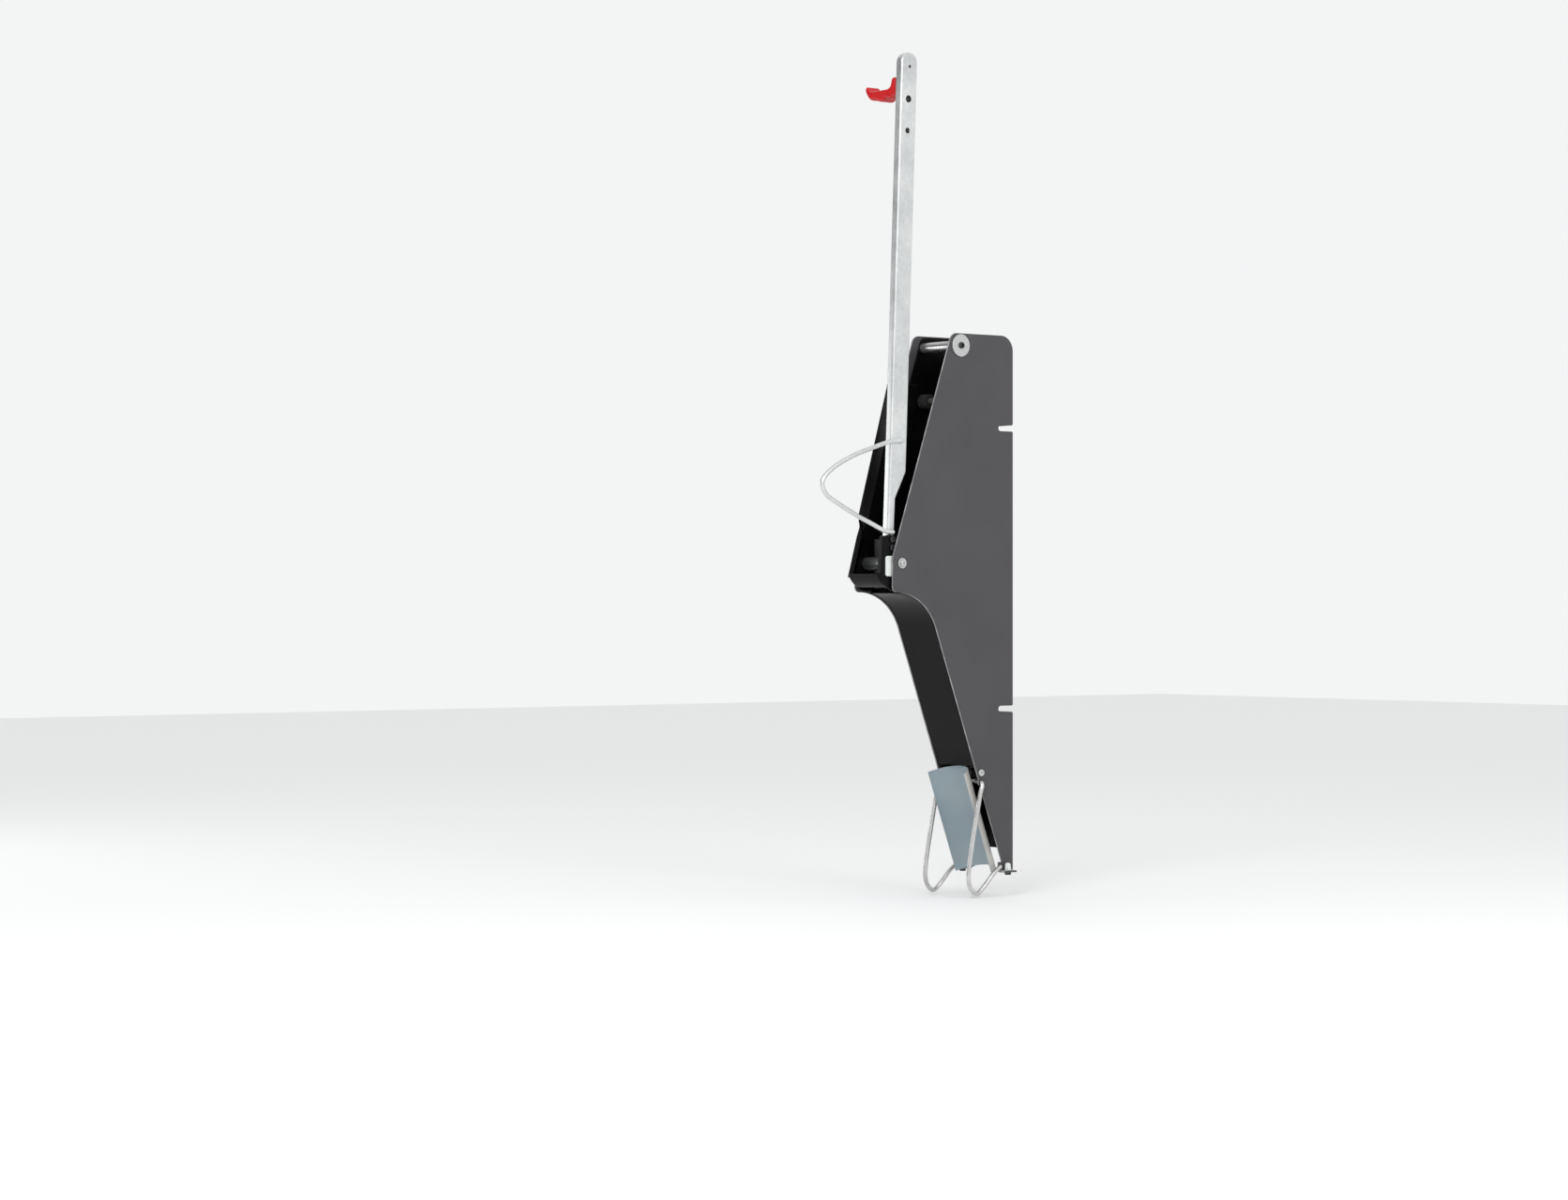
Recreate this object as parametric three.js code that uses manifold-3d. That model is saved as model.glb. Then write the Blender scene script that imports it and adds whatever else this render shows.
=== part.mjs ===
// Spring-assisted wall rack for one bicycle, in millimetres.
// X runs along the wall, the wall is the plane Y = 0, the rack stands in front of it at negative Y, +Z is up.
// The origin is on the wall face, midway between the upper and the lower pair of hanging slots.
import * as THREE from "three";
import { mergeVertices } from "three/addons/utils/BufferGeometryUtils.js";
import Module from "manifold-3d";

const wasm = await Module();
wasm.setup();

// Gap kept between pieces that touch.
const GAP = 0.3;

// Housing: two steel side plates, held apart by a folded back channel.
const PLATE_OUTER = 47;
const PLATE_INNER = 44;
const PLATE_TOP = 365;
const PLATE_BOTTOM = -473;
const NOSE_FRONT = -245;
const NOSE_UNDERSIDE = -37.5;
const COVE_RADIUS = 84;
const COVE_CORNER = -178;
const TOE_FRONT = -18;
const SLOT_HEIGHTS = [220, -220];
const SLOT_WIDTH = 9.5;
const SLOT_DEPTH = 30;
const FOOT = { outer: 61, front: -30, back: -4, thick: 3 };

const CHANNEL_OUTER = PLATE_INNER - GAP;
const CHANNEL_INNER = 41.5;
const CHANNEL_WEB = 2.2;

// Fastener places, as [Y, Z].
const PIVOT = [-227, 7];
const TOP_TIE = [-109, 346];
const LOWER_SCREW = [-67, -319];
const STOP = [-112, 262];
const GUIDE_HOLE = [-66, -334];

// Lever: cradle, arm and rim hook.
const CRADLE_OUTER = 40.5;
const CRADLE_INNER = 38;
const CRADLE_REACH = 43;
const PIVOT_TUBE_RADIUS = 10;
const AXLE_RADIUS = 6;
const ARM = { outer: 37.7, inner: 23.7, wall: 1.6, top: 794, width: 32, neck: 20 };
const ARM_HOLES = [
  [-203.5, 772, 2.5],
  [-206, 722, 5.5],
  [-208, 673, 4.5],
];
const ARM_BOLTS = [
  [-241.5, 31],
  [-241, 43.5],
];
const HOOK = { near: 20.6, far: -52, front: -219, back: -193, seat: 741, horn: 757, lip: 748 };

// Strap and springs: a straight pull from the drum to the anchor pin.
const DRUM_RADIUS = 34;
const STRAP_THICK = 2;
const STRAP_HALF = 10.5;
const PULL_ANGLE = THREE.MathUtils.degToRad(24.5);
const YOKE_AT = 181;
const ANCHOR_AT = 390;
const SPRING_AT = 18;
const SPRING_RADIUS = 12.5;
const ANCHOR_RADIUS = 5;
const LEVER_TRAVEL = 100;

// Wires.
const WIRE_RADIUS = 3.5;
const LOOP_PLANE = ARM.outer + GAP + WIRE_RADIUS;
const GUIDE_PLANE = PLATE_OUTER + 1.5 + WIRE_RADIUS;

// Slant of the lower front edge, from the end of the cove down to the toe.
const EDGE_TILT = Math.atan2(TOE_FRONT - COVE_CORNER, NOSE_UNDERSIDE - PLATE_BOTTOM);
const COVE_TANGENT = COVE_RADIUS * Math.tan((Math.PI / 2 - EDGE_TILT) / 2);
const COVE_CENTRE = [COVE_CORNER - COVE_TANGENT, NOSE_UNDERSIDE - COVE_RADIUS];
const COVER_STRAIGHT = 230;

// ---- materials ----

const finish = (color, roughness, metalness) => () =>
  new THREE.MeshStandardMaterial({ color, roughness, metalness });

const anthraciteCoat = finish(0x575558, 0.45, 0.2);
const blackCoat = finish(0x1b1b1d, 0.35, 0.1);
const galvanised = finish(0xb9bcbd, 0.35, 0.9);
const zinc = finish(0xdcdcdc, 0.3, 0.7);
const darkSteel = finish(0x3a3a3c, 0.4, 0.8);
const bareSteel = finish(0x9a9a9c, 0.4, 0.9);
const blueGreyCoat = finish(0x8c9ba3, 0.4, 0.2);
const redPlastic = finish(0xc4161c, 0.35, 0);
const blackRubber = finish(0x161616, 0.8, 0);
const webbing = finish(0x26262a, 0.9, 0);
const nylon = finish(0xe6e4dc, 0.5, 0);

// ---- solids ----

// A closed geometry as a manifold solid, turned right side out where its profile runs backwards.
function solid(geometry) {
  const bare = geometry.clone();
  bare.deleteAttribute("normal");
  bare.deleteAttribute("uv");
  const merged = mergeVertices(bare, 1e-3);
  const build = (triVerts) => {
    const vertProperties = merged.attributes.position.array;
    return new wasm.Manifold(new wasm.Mesh({ numProp: 3, vertProperties, triVerts }));
  };
  const corners = new Uint32Array(merged.index.array);
  const made = build(corners);
  return made.volume() < 0 ? build(corners.reverse()) : made;
}

function geometryOf(made) {
  const { vertProperties, triVerts } = made.getMesh();
  const geometry = new THREE.BufferGeometry();
  geometry.setAttribute("position", new THREE.BufferAttribute(vertProperties, 3));
  geometry.setIndex(new THREE.BufferAttribute(triVerts, 1));
  geometry.computeVertexNormals();
  return geometry;
}

// A closed outline through corners [u, v, radius], each corner rounded by a tangent arc.
function roundedOutline(corners) {
  const shape = new THREE.Shape();
  corners.forEach(([u, v, radius = 0], i) => {
    const corner = new THREE.Vector2(u, v);
    const [bu, bv] = corners.at(i - 1);
    const [au, av] = corners[(i + 1) % corners.length];
    const back = new THREE.Vector2(bu, bv).sub(corner).normalize();
    const ahead = new THREE.Vector2(au, av).sub(corner).normalize();
    const half = Math.acos(THREE.MathUtils.clamp(back.dot(ahead), -1, 1)) / 2;
    const reach = radius / Math.tan(half);
    const start = corner.clone().addScaledVector(back, reach);
    if (i === 0) shape.moveTo(start.x, start.y);
    else shape.lineTo(start.x, start.y);
    if (!radius) return;
    const middle = back.clone().add(ahead).normalize();
    const centre = corner.clone().addScaledVector(middle, radius / Math.sin(half));
    const end = corner.clone().addScaledVector(ahead, reach);
    const from = Math.atan2(start.y - centre.y, start.x - centre.x);
    const to = Math.atan2(end.y - centre.y, end.x - centre.x);
    shape.absarc(centre.x, centre.y, radius, from, to, back.cross(ahead) > 0);
  });
  shape.closePath();
  return shape;
}

// An outline drawn in (Y, Z), extruded from x = from to x = to.
function acrossX(outline, from, to, curveSegments = 6) {
  const geometry = new THREE.ExtrudeGeometry(outline, {
    depth: to - from,
    bevelEnabled: false,
    curveSegments,
  });
  geometry.translate(0, 0, from);
  const basis = new THREE.Matrix4().makeBasis(
    new THREE.Vector3(0, 1, 0),
    new THREE.Vector3(0, 0, 1),
    new THREE.Vector3(1, 0, 0),
  );
  return solid(geometry.applyMatrix4(basis));
}

// An outline drawn in (X, Z), extruded from y = back forward to y = front.
function acrossY(outline, front, back, curveSegments = 6) {
  const geometry = new THREE.ExtrudeGeometry(outline, {
    depth: back - front,
    bevelEnabled: false,
    curveSegments,
  });
  geometry.rotateX(Math.PI / 2);
  geometry.translate(0, back, 0);
  return solid(geometry);
}

function block([x0, x1], [y0, y1], [z0, z1]) {
  const geometry = new THREE.BoxGeometry(x1 - x0, y1 - y0, z1 - z0);
  geometry.translate((x0 + x1) / 2, (y0 + y1) / 2, (z0 + z1) / 2);
  return solid(geometry);
}

// A profile of [radius, x] points turned about the line through [y, z] that runs along X.
function turned(profile, [y, z], segments = 20) {
  const points = profile.map(([radius, x]) => new THREE.Vector2(radius, x));
  const geometry = new THREE.LatheGeometry(points, segments);
  geometry.rotateZ(-Math.PI / 2);
  geometry.translate(0, y, z);
  return solid(geometry);
}

const rod = (radius, from, to, place, segments) =>
  turned([[0, from], [radius, from], [radius, to], [0, to]], place, segments);

function ring(inner, outer, from, to, place, segments) {
  const profile = [[inner, from], [outer, from], [outer, to], [inner, to], [inner, from]];
  return turned(profile, place, segments);
}

// A round wire carried along points [x, y, z].
function wire(points, steps, tension = 0.5) {
  const section = new THREE.Shape().absarc(0, 0, WIRE_RADIUS, 0, 2 * Math.PI);
  const vectors = points.map((p) => new THREE.Vector3(...p));
  const extrudePath = new THREE.CatmullRomCurve3(vectors, false, "catmullrom", tension);
  const geometry = new THREE.ExtrudeGeometry(section, { steps, extrudePath, curveSegments: 5 });
  return solid(geometry);
}

// ---- the object ----

const group = new THREE.Group();

function add(name, made, material, parent = group) {
  const mesh = new THREE.Mesh(geometryOf(made), material());
  mesh.name = name;
  parent.add(mesh);
  return mesh;
}

// Right is +X. Calls make(sign, side) once for each side.
function bothSides(make) {
  make(1, "right");
  make(-1, "left");
}

// The span from inner to outer on the side given by sign, lowest first.
const span = (sign, inner, outer) => (sign > 0 ? [inner, outer] : [-outer, -inner]);

const mirroredX = (made, sign) => (sign > 0 ? made : made.mirror([1, 0, 0]));

// ---- housing ----

function hangingSlot(height) {
  const half = SLOT_WIDTH / 2;
  const outline = roundedOutline([
    [1, height - half],
    [1, height + half],
    [-SLOT_DEPTH, height + half, half - 0.01],
    [-SLOT_DEPTH, height - half, half - 0.01],
  ]);
  return acrossX(outline, -PLATE_OUTER - 1, PLATE_OUTER + 1, 4);
}

function plateOutline() {
  return roundedOutline([
    [0, PLATE_BOTTOM],
    [0, PLATE_TOP, 24],
    [-126, PLATE_TOP, 14],
    [NOSE_FRONT, 15, 15],
    [NOSE_FRONT, NOSE_UNDERSIDE, 8],
    [COVE_CORNER, NOSE_UNDERSIDE, COVE_RADIUS],
    [TOE_FRONT, PLATE_BOTTOM, 4],
  ]);
}

function sidePlate(sign) {
  const [from, to] = span(sign, PLATE_INNER, PLATE_OUTER);
  const holes = [
    [...PIVOT, AXLE_RADIUS + GAP],
    [...TOP_TIE, 3.4],
    [...LOWER_SCREW, 3.4],
    [...GUIDE_HOLE, WIRE_RADIUS + 1.6],
  ];
  const footX = span(sign, PLATE_INNER, FOOT.outer);
  const foot = block(footX, [FOOT.front, FOOT.back], [PLATE_BOTTOM - FOOT.thick, PLATE_BOTTOM]);
  let plate = acrossX(plateOutline(), from, to, 7).add(foot);
  holes.forEach(([y, z, radius]) => {
    plate = plate.subtract(rod(radius, from - 1, to + 1, [y, z], 16));
  });
  SLOT_HEIGHTS.forEach((height) => {
    plate = plate.subtract(hangingSlot(height));
  });
  const boltX = sign * (PLATE_OUTER + FOOT.outer) / 2;
  return plate.subtract(uprightRod(3 + GAP, PLATE_BOTTOM - 8, PLATE_BOTTOM + 8, boltX));
}

// A rod along Z through the middle of the foot flange.
function uprightRod(radius, from, to, x, segments = 16) {
  const geometry = new THREE.CylinderGeometry(radius, radius, to - from, segments);
  geometry.rotateX(Math.PI / 2);
  geometry.translate(x, (FOOT.front + FOOT.back) / 2, (from + to) / 2);
  return solid(geometry);
}

function backChannel() {
  const outline = roundedOutline([
    [0, -440],
    [0, PLATE_TOP - 2, 22],
    [-112, PLATE_TOP - 2, 12],
    [-215, 60, 8],
    [-192, 0, 20],
    [-133, -120, 30],
    [-15, -440],
  ]);
  const hollow = block([-CHANNEL_INNER, CHANNEL_INNER], [-300, -CHANNEL_WEB], [-600, 600]);
  let channel = acrossX(outline, -CHANNEL_OUTER, CHANNEL_OUTER).subtract(hollow);
  const holes = [
    [...TOP_TIE, 3.4],
    [...STOP, 5 + GAP],
    [...anchorPlace(), ANCHOR_RADIUS + GAP],
  ];
  holes.forEach(([y, z, radius]) => {
    channel = channel.subtract(rod(radius, -CHANNEL_OUTER - 1, CHANNEL_OUTER + 1, [y, z], 16));
  });
  SLOT_HEIGHTS.forEach((height) => {
    channel = channel.subtract(hangingSlot(height));
  });
  return channel;
}

// The black cover follows the cove and the slanted edge, 1.2 mm behind the plates' edges.
function frontCover() {
  const outer = COVE_RADIUS + 1.2;
  const inner = outer + 2.5;
  const start = THREE.MathUtils.degToRad(75);
  const [cy, cz] = COVE_CENTRE;
  const down = [Math.sin(EDGE_TILT) * COVER_STRAIGHT, -Math.cos(EDGE_TILT) * COVER_STRAIGHT];
  const at = (radius) => [
    cy + radius * Math.cos(EDGE_TILT) + down[0],
    cz + radius * Math.sin(EDGE_TILT) + down[1],
  ];
  const outline = new THREE.Shape();
  outline.absarc(cy, cz, outer, start, EDGE_TILT, true);
  outline.lineTo(...at(outer));
  outline.lineTo(...at(inner));
  outline.absarc(cy, cz, inner, EDGE_TILT, start, false);
  outline.closePath();
  let cover = acrossX(outline, -CHANNEL_OUTER, CHANNEL_OUTER, 10);
  const screwTilt = (LOWER_SCREW[1] - PLATE_BOTTOM) / Math.cos(EDGE_TILT);
  bothSides((sign) => {
    const lug = block(span(sign, 34, CHANNEL_OUTER), [2, 13], [screwTilt - 8, screwTilt + 34]);
    cover = cover.add(alongEdge(lug));
  });
  return cover.subtract(rod(3.3, -50, 50, LOWER_SCREW, 12));
}

// Turns a solid drawn with Z up the lower front edge and Y behind it into its place.
function alongEdge(made) {
  return made.rotate([THREE.MathUtils.radToDeg(EDGE_TILT), 0, 0]).translate([0, TOE_FRONT, PLATE_BOTTOM]);
}

// The half-pipe that takes the rear tyre: an arc sheet whose wings stand in front of the plates.
function wheelTrough() {
  const centre = -35.6;
  const outer = 45.6;
  const inner = 44.1;
  const half = THREE.MathUtils.degToRad(72);
  const outline = new THREE.Shape();
  outline.absarc(0, centre, outer, Math.PI / 2 - half, Math.PI / 2 + half, false);
  outline.absarc(0, centre, inner, Math.PI / 2 + half, Math.PI / 2 - half, true);
  outline.closePath();
  const geometry = new THREE.ExtrudeGeometry(outline, {
    depth: 168,
    bevelEnabled: false,
    curveSegments: 16,
  });
  geometry.translate(0, 0, 3);
  return alongEdge(solid(geometry));
}

function guideWire(sign) {
  const out = sign * GUIDE_PLANE;
  const inside = sign * 36;
  const [y, z] = GUIDE_HOLE;
  const points = [
    [inside, y, z + 1],
    [sign * (PLATE_INNER - 2), y, z + 1],
    [sign * (PLATE_OUTER + 1), y - 0.5, z - 0.5],
    [out - sign * 0.6, y - 2, z - 6],
    [out, -72, -351],
    [out, -84, -406],
    [out, -94.5, -461],
    [out, -95, -492],
    [out, -80, -507],
    [out, -61, -493],
    [out, -46, -478],
    [out, -31, -467],
  ];
  return wire(points, 34);
}

function fastener(name, place, radii, depth, material) {
  const [head, shank] = radii;
  const [base, tip] = depth;
  bothSides((sign, side) => {
    const profile = [
      [0, tip],
      [shank, tip],
      [shank, base],
      [head, base],
      [head * 0.9, base + head * 0.45],
      [0, base + head * 0.6],
    ];
    add(`${name}_${side}`, mirroredX(turned(profile, place, 16), sign), material);
  });
}

function washers(name, place, radii, from, to, material, segments = 20) {
  bothSides((sign, side) => {
    add(`${name}_${side}`, mirroredX(ring(...radii, from, to, place, segments), sign), material);
  });
}

// ---- pull line ----

// Turns a solid drawn with Z up the pull line, from the drum's tangent point, into its place.
function alongPull(made) {
  const reach = DRUM_RADIUS + GAP + STRAP_THICK / 2;
  const y = PIVOT[0] + reach * Math.cos(PULL_ANGLE);
  const z = PIVOT[1] + reach * Math.sin(PULL_ANGLE);
  return made.rotate([THREE.MathUtils.radToDeg(PULL_ANGLE), 0, 0]).translate([0, y, z]);
}

function anchorPlace() {
  const reach = DRUM_RADIUS + GAP + STRAP_THICK / 2;
  return [
    PIVOT[0] + reach * Math.cos(PULL_ANGLE) + ANCHOR_AT * Math.sin(PULL_ANGLE),
    PIVOT[1] + reach * Math.sin(PULL_ANGLE) - ANCHOR_AT * Math.cos(PULL_ANGLE),
  ];
}

function springBody(sign) {
  const from = -ANCHOR_AT + ANCHOR_RADIUS + GAP;
  const to = -YOKE_AT - 15;
  const geometry = new THREE.CylinderGeometry(SPRING_RADIUS, SPRING_RADIUS, to - from, 16);
  geometry.rotateX(Math.PI / 2);
  geometry.translate(sign * SPRING_AT, 0, (from + to) / 2);
  return alongPull(solid(geometry));
}

// ---- lever ----

function cradle() {
  const [py, pz] = PIVOT;
  const tallWall = roundedOutline([
    [-165.5, 288, 4],
    [-238, 34, 6],
    [-252, 24, 6],
    [-265, NOSE_UNDERSIDE + 1, 32],
    [-188, NOSE_UNDERSIDE + 1, 36],
    [-190, 20, 20],
    [-118, 288, 8],
  ]);
  const lowWall = roundedOutline([
    [-258, 50, 6],
    [-265, NOSE_UNDERSIDE + 1, 32],
    [-188, NOSE_UNDERSIDE + 1, 36],
    [-196, 50, 12],
  ]);
  const web = new THREE.Shape();
  const from = THREE.MathUtils.degToRad(195);
  const to = THREE.MathUtils.degToRad(250);
  web.absarc(py, pz, CRADLE_REACH, from, to, false);
  web.absarc(py, pz, CRADLE_REACH - 2.5, to, from, true);
  web.closePath();
  const tall = acrossX(tallWall, -CRADLE_OUTER, -CRADLE_INNER);
  const low = acrossX(lowWall, CRADLE_INNER, CRADLE_OUTER);
  const floor = acrossX(web, -CRADLE_INNER - 1, CRADLE_INNER + 1);
  let body = tall.add(low).add(floor).add(flaredLip());
  body = body.subtract(rod(AXLE_RADIUS + GAP, -50, 50, PIVOT));
  ARM_BOLTS.forEach((place) => {
    body = body.subtract(rod(3.3, 30, 50, place, 12));
  });
  return body;
}

// The tall wall's front lip, folded outward, drawn as a section in (X, Y) and carried up the lip line.
function flaredLip() {
  const foot = [-263, -10];
  const tilt = Math.atan2(-178 - foot[0], 290 - foot[1]);
  const section = new THREE.Shape();
  section.moveTo(-CRADLE_INNER, 13.5);
  section.lineTo(-CRADLE_OUTER, 13.5);
  section.lineTo(-47, 0);
  section.lineTo(-44.6, -0.6);
  section.closePath();
  const geometry = new THREE.ExtrudeGeometry(section, { depth: 250, bevelEnabled: false });
  geometry.translate(0, 0, 60);
  const made = solid(geometry);
  return made.rotate([-THREE.MathUtils.radToDeg(tilt), 0, 0]).translate([0, ...foot]);
}

function armOutline(inset) {
  const top = ARM.top - inset;
  const round = ARM.width / 2 - inset - 0.01;
  return roundedOutline([
    [-187 - inset, top, round],
    [-219 + inset, top, round],
    [-240 + inset, 224, 200],
    [-249 + inset, ARM.neck + inset],
    [-235 - inset, ARM.neck + inset],
    [-232 - inset, 106, 12],
    [-210.5 - inset, 147, 12],
  ]);
}

function armTube() {
  const bore = acrossX(armOutline(ARM.wall), ARM.inner + ARM.wall, ARM.outer - ARM.wall);
  let arm = acrossX(armOutline(0), ARM.inner, ARM.outer).subtract(bore);
  ARM_HOLES.forEach(([y, z, radius]) => {
    arm = arm.subtract(rod(radius, ARM.inner - 1, ARM.outer + 1, [y, z], 16));
  });
  ARM_BOLTS.forEach((place) => {
    arm = arm.subtract(rod(3.3, ARM.inner - 1, ARM.outer + 1, place, 12));
  });
  return arm;
}

function sideLoop() {
  const route = [
    [-222, 195.5],
    [-245, 193.5],
    [-284, 182],
    [-316, 171.5],
    [-353, 154],
    [-375, 137],
    [-379, 123],
    [-370, 109],
    [-349, 97],
    [-316, 81],
    [-285, 68],
    [-258, 57],
    [-241, 55],
  ];
  return wire(route.map(([y, z]) => [LOOP_PLANE, y, z]), 40);
}

function hookOutline() {
  const { near, far, seat, horn, lip } = HOOK;
  const shape = new THREE.Shape();
  shape.moveTo(near, seat - 13);
  shape.lineTo(near, horn - 4);
  shape.quadraticCurveTo(near - 1, horn, near - 5, horn);
  shape.quadraticCurveTo(near - 10, horn - 1, near - 11, seat + 7);
  shape.quadraticCurveTo(near - 13, seat, near - 22, seat - 1);
  shape.lineTo(far + 14, seat - 1);
  shape.quadraticCurveTo(far + 7, seat, far + 5, lip);
  shape.quadraticCurveTo(far - 1, lip + 1, far, seat);
  const valleys = [far, -28, -3, near - 8];
  const depths = [-15, -19, -15];
  for (let i = 0; i < 3; i += 1) {
    const middle = (valleys[i] + valleys[i + 1]) / 2;
    const bottom = seat + depths[i] - 6;
    shape.quadraticCurveTo(middle, bottom, valleys[i + 1], seat - 13);
  }
  shape.closePath();
  return shape;
}

function rimHook() {
  const core = block([HOOK.far + 6, HOOK.near + 1], [-214.5, -197.5], [730.2, 733.8]);
  return acrossY(hookOutline(), HOOK.front, HOOK.back).subtract(core);
}

// Steel angle that carries the plastic hook: one leg on the arm, the other inside the hook.
function hookBracket() {
  const leg = block([ARM.inner - 2.7, ARM.inner - GAP], [-214, -198], [712, 781]);
  const tongue = block([HOOK.far + 8, ARM.inner - GAP], [-214, -198], [730.6, 733.4]);
  const angle = leg.add(tongue);
  return ARM_HOLES.slice(0, 2).reduce(
    (made, [y, z]) => made.subtract(rod(2.8, 0, 30, [y, z], 12)),
    angle,
  );
}

function drumWrap() {
  const [py, pz] = PIVOT;
  const inner = DRUM_RADIUS + GAP;
  const from = PULL_ANGLE - THREE.MathUtils.degToRad(LEVER_TRAVEL);
  const to = THREE.MathUtils.degToRad(96);
  const band = new THREE.Shape();
  band.absarc(py, pz, inner + STRAP_THICK, from, to, false);
  band.absarc(py, pz, inner, to, from, true);
  band.closePath();
  return acrossX(band, -STRAP_HALF, STRAP_HALF, 12);
}

// A half drum, open at the front so that the tyre's space in the cradle stays clear.
function strapDrum() {
  const cheek = STRAP_HALF + GAP;
  const bore = PIVOT_TUBE_RADIUS + GAP;
  const rim = DRUM_RADIUS + 4;
  const profile = [
    [bore, -cheek - 2],
    [rim, -cheek - 2],
    [rim, -cheek],
    [DRUM_RADIUS, -cheek],
    [DRUM_RADIUS, cheek],
    [rim, cheek],
    [rim, cheek + 2],
    [bore, cheek + 2],
    [bore, -cheek - 2],
  ];
  const frontHalf = block([-20, 20], [-300, PIVOT[0] - 5], [-100, 100]);
  return turned(profile, PIVOT, 36).subtract(frontHalf);
}

// ---- assembly: housing ----

bothSides((sign, side) => {
  add(`side_plate_${side}`, sidePlate(sign), anthraciteCoat);
  add(`guide_wire_${side}`, guideWire(sign), bareSteel);
});
add("back_channel", backChannel(), blackCoat);
add("front_cover", frontCover(), blackCoat);
add("wheel_trough", wheelTrough(), blueGreyCoat);

add("top_spacer", ring(3 + GAP, 8, -CHANNEL_INNER + GAP, CHANNEL_INNER - GAP, TOP_TIE), bareSteel);
washers("top_disc", TOP_TIE, [3.4, 17.5], PLATE_OUTER + GAP, 49.5, zinc, 28);
fastener("top_screw", TOP_TIE, [5, 3], [49.5 + GAP, 30], darkSteel);

const axleEnd = PLATE_OUTER - GAP;
const axleProfile = [
  [0, -32],
  [2.8, -32],
  [2.8, -axleEnd],
  [AXLE_RADIUS, -axleEnd],
  [AXLE_RADIUS, axleEnd],
  [2.8, axleEnd],
  [2.8, 32],
  [0, 32],
];
add("pivot_axle", turned(axleProfile, PIVOT), bareSteel);
washers("thrust_washer", PIVOT, [AXLE_RADIUS + GAP, 11], CRADLE_OUTER + GAP, PLATE_INNER - GAP, nylon);
washers("pivot_washer", PIVOT, [2.8, 8], PLATE_OUTER + GAP, 48.6, zinc);
fastener("pivot_screw", PIVOT, [5, 2.5], [48.6 + GAP, 34], zinc);
fastener("lower_screw", LOWER_SCREW, [5.5, 3], [PLATE_OUTER + GAP, 35], zinc);

add("spring_anchor", rod(ANCHOR_RADIUS, -43.5, 43.5, anchorPlace()), bareSteel);
add("stop_bar", rod(5, -43.5, 43.5, STOP), bareSteel);
add("stop_buffer", ring(5 + GAP, 11, -41, -22, STOP), blackRubber);

bothSides((sign, side) => {
  const x = (sign * (PLATE_OUTER + FOOT.outer)) / 2;
  const under = PLATE_BOTTOM - FOOT.thick - GAP;
  const head = uprightRod(5.5, under - 3.5, under, x, 6);
  add(`foot_bolt_${side}`, head.add(uprightRod(3, under - 1, -464.6, x)), darkSteel);
  const nut = uprightRod(5.2, PLATE_BOTTOM + GAP, -461, x, 6);
  const bore = uprightRod(3 + GAP, PLATE_BOTTOM - 8, -464.3, x);
  add(`foot_nut_${side}`, nut.subtract(bore), nylon);
});

// ---- assembly: strap and springs ----

bothSides((sign, side) => {
  add(`spring_${side}`, springBody(sign), bareSteel);
});
const strapSpan = [-YOKE_AT - 1.5, -12.8];
add("pull_strap", alongPull(block([-STRAP_HALF, STRAP_HALF], [-1, 1], strapSpan)), webbing);
const yokeSpan = [-YOKE_AT - 14, -YOKE_AT - 2];
add("spring_yoke", alongPull(block([-32, 32], [-5, 5], yokeSpan)), zinc);

// ---- assembly: lever ----

add("cradle", cradle(), blackCoat);
const tubeEnd = CRADLE_INNER - GAP;
add("pivot_tube", ring(AXLE_RADIUS + GAP, PIVOT_TUBE_RADIUS, -tubeEnd, tubeEnd, PIVOT), bareSteel);
add("strap_drum", strapDrum(), nylon);
add("strap_wrap", drumWrap(), webbing);
add("arm_tube", armTube(), galvanised);
ARM_BOLTS.forEach((place, i) => {
  const profile = [
    [0, 20],
    [3, 20],
    [3, CRADLE_OUTER + GAP],
    [5, CRADLE_OUTER + GAP],
    [4.5, 43.4],
    [0, 43.4],
  ];
  add(`arm_bolt_${i ? "upper" : "lower"}`, turned(profile, place, 16), darkSteel);
});
const shoeSpan = [CRADLE_OUTER + GAP, CRADLE_OUTER + 2.3];
add("cradle_side_pad", block(shoeSpan, [-255.5, -240.5], [-13, 18]), nylon);
add("side_loop", sideLoop(), galvanised);
add("rim_hook", rimHook(), redPlastic);
add("hook_bracket", hookBracket(), zinc);

[
  ["hook_screw_upper", 2.1, 4],
  ["hook_screw_lower", 2.5, 4.6],
].forEach(([name, shank, head], i) => {
  const [y, z] = ARM_HOLES[i];
  const profile = [
    [0, 17.5],
    [head, 17.5],
    [head, 20.7],
    [shank, 20.7],
    [shank, ARM.outer - 1],
    [0, ARM.outer - 1],
  ];
  add(name, turned(profile, [y, z], 12), darkSteel);
});

export default group;
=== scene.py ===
import math

import bmesh
import bpy
import numpy as np
from mathutils import Matrix, Vector


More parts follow.
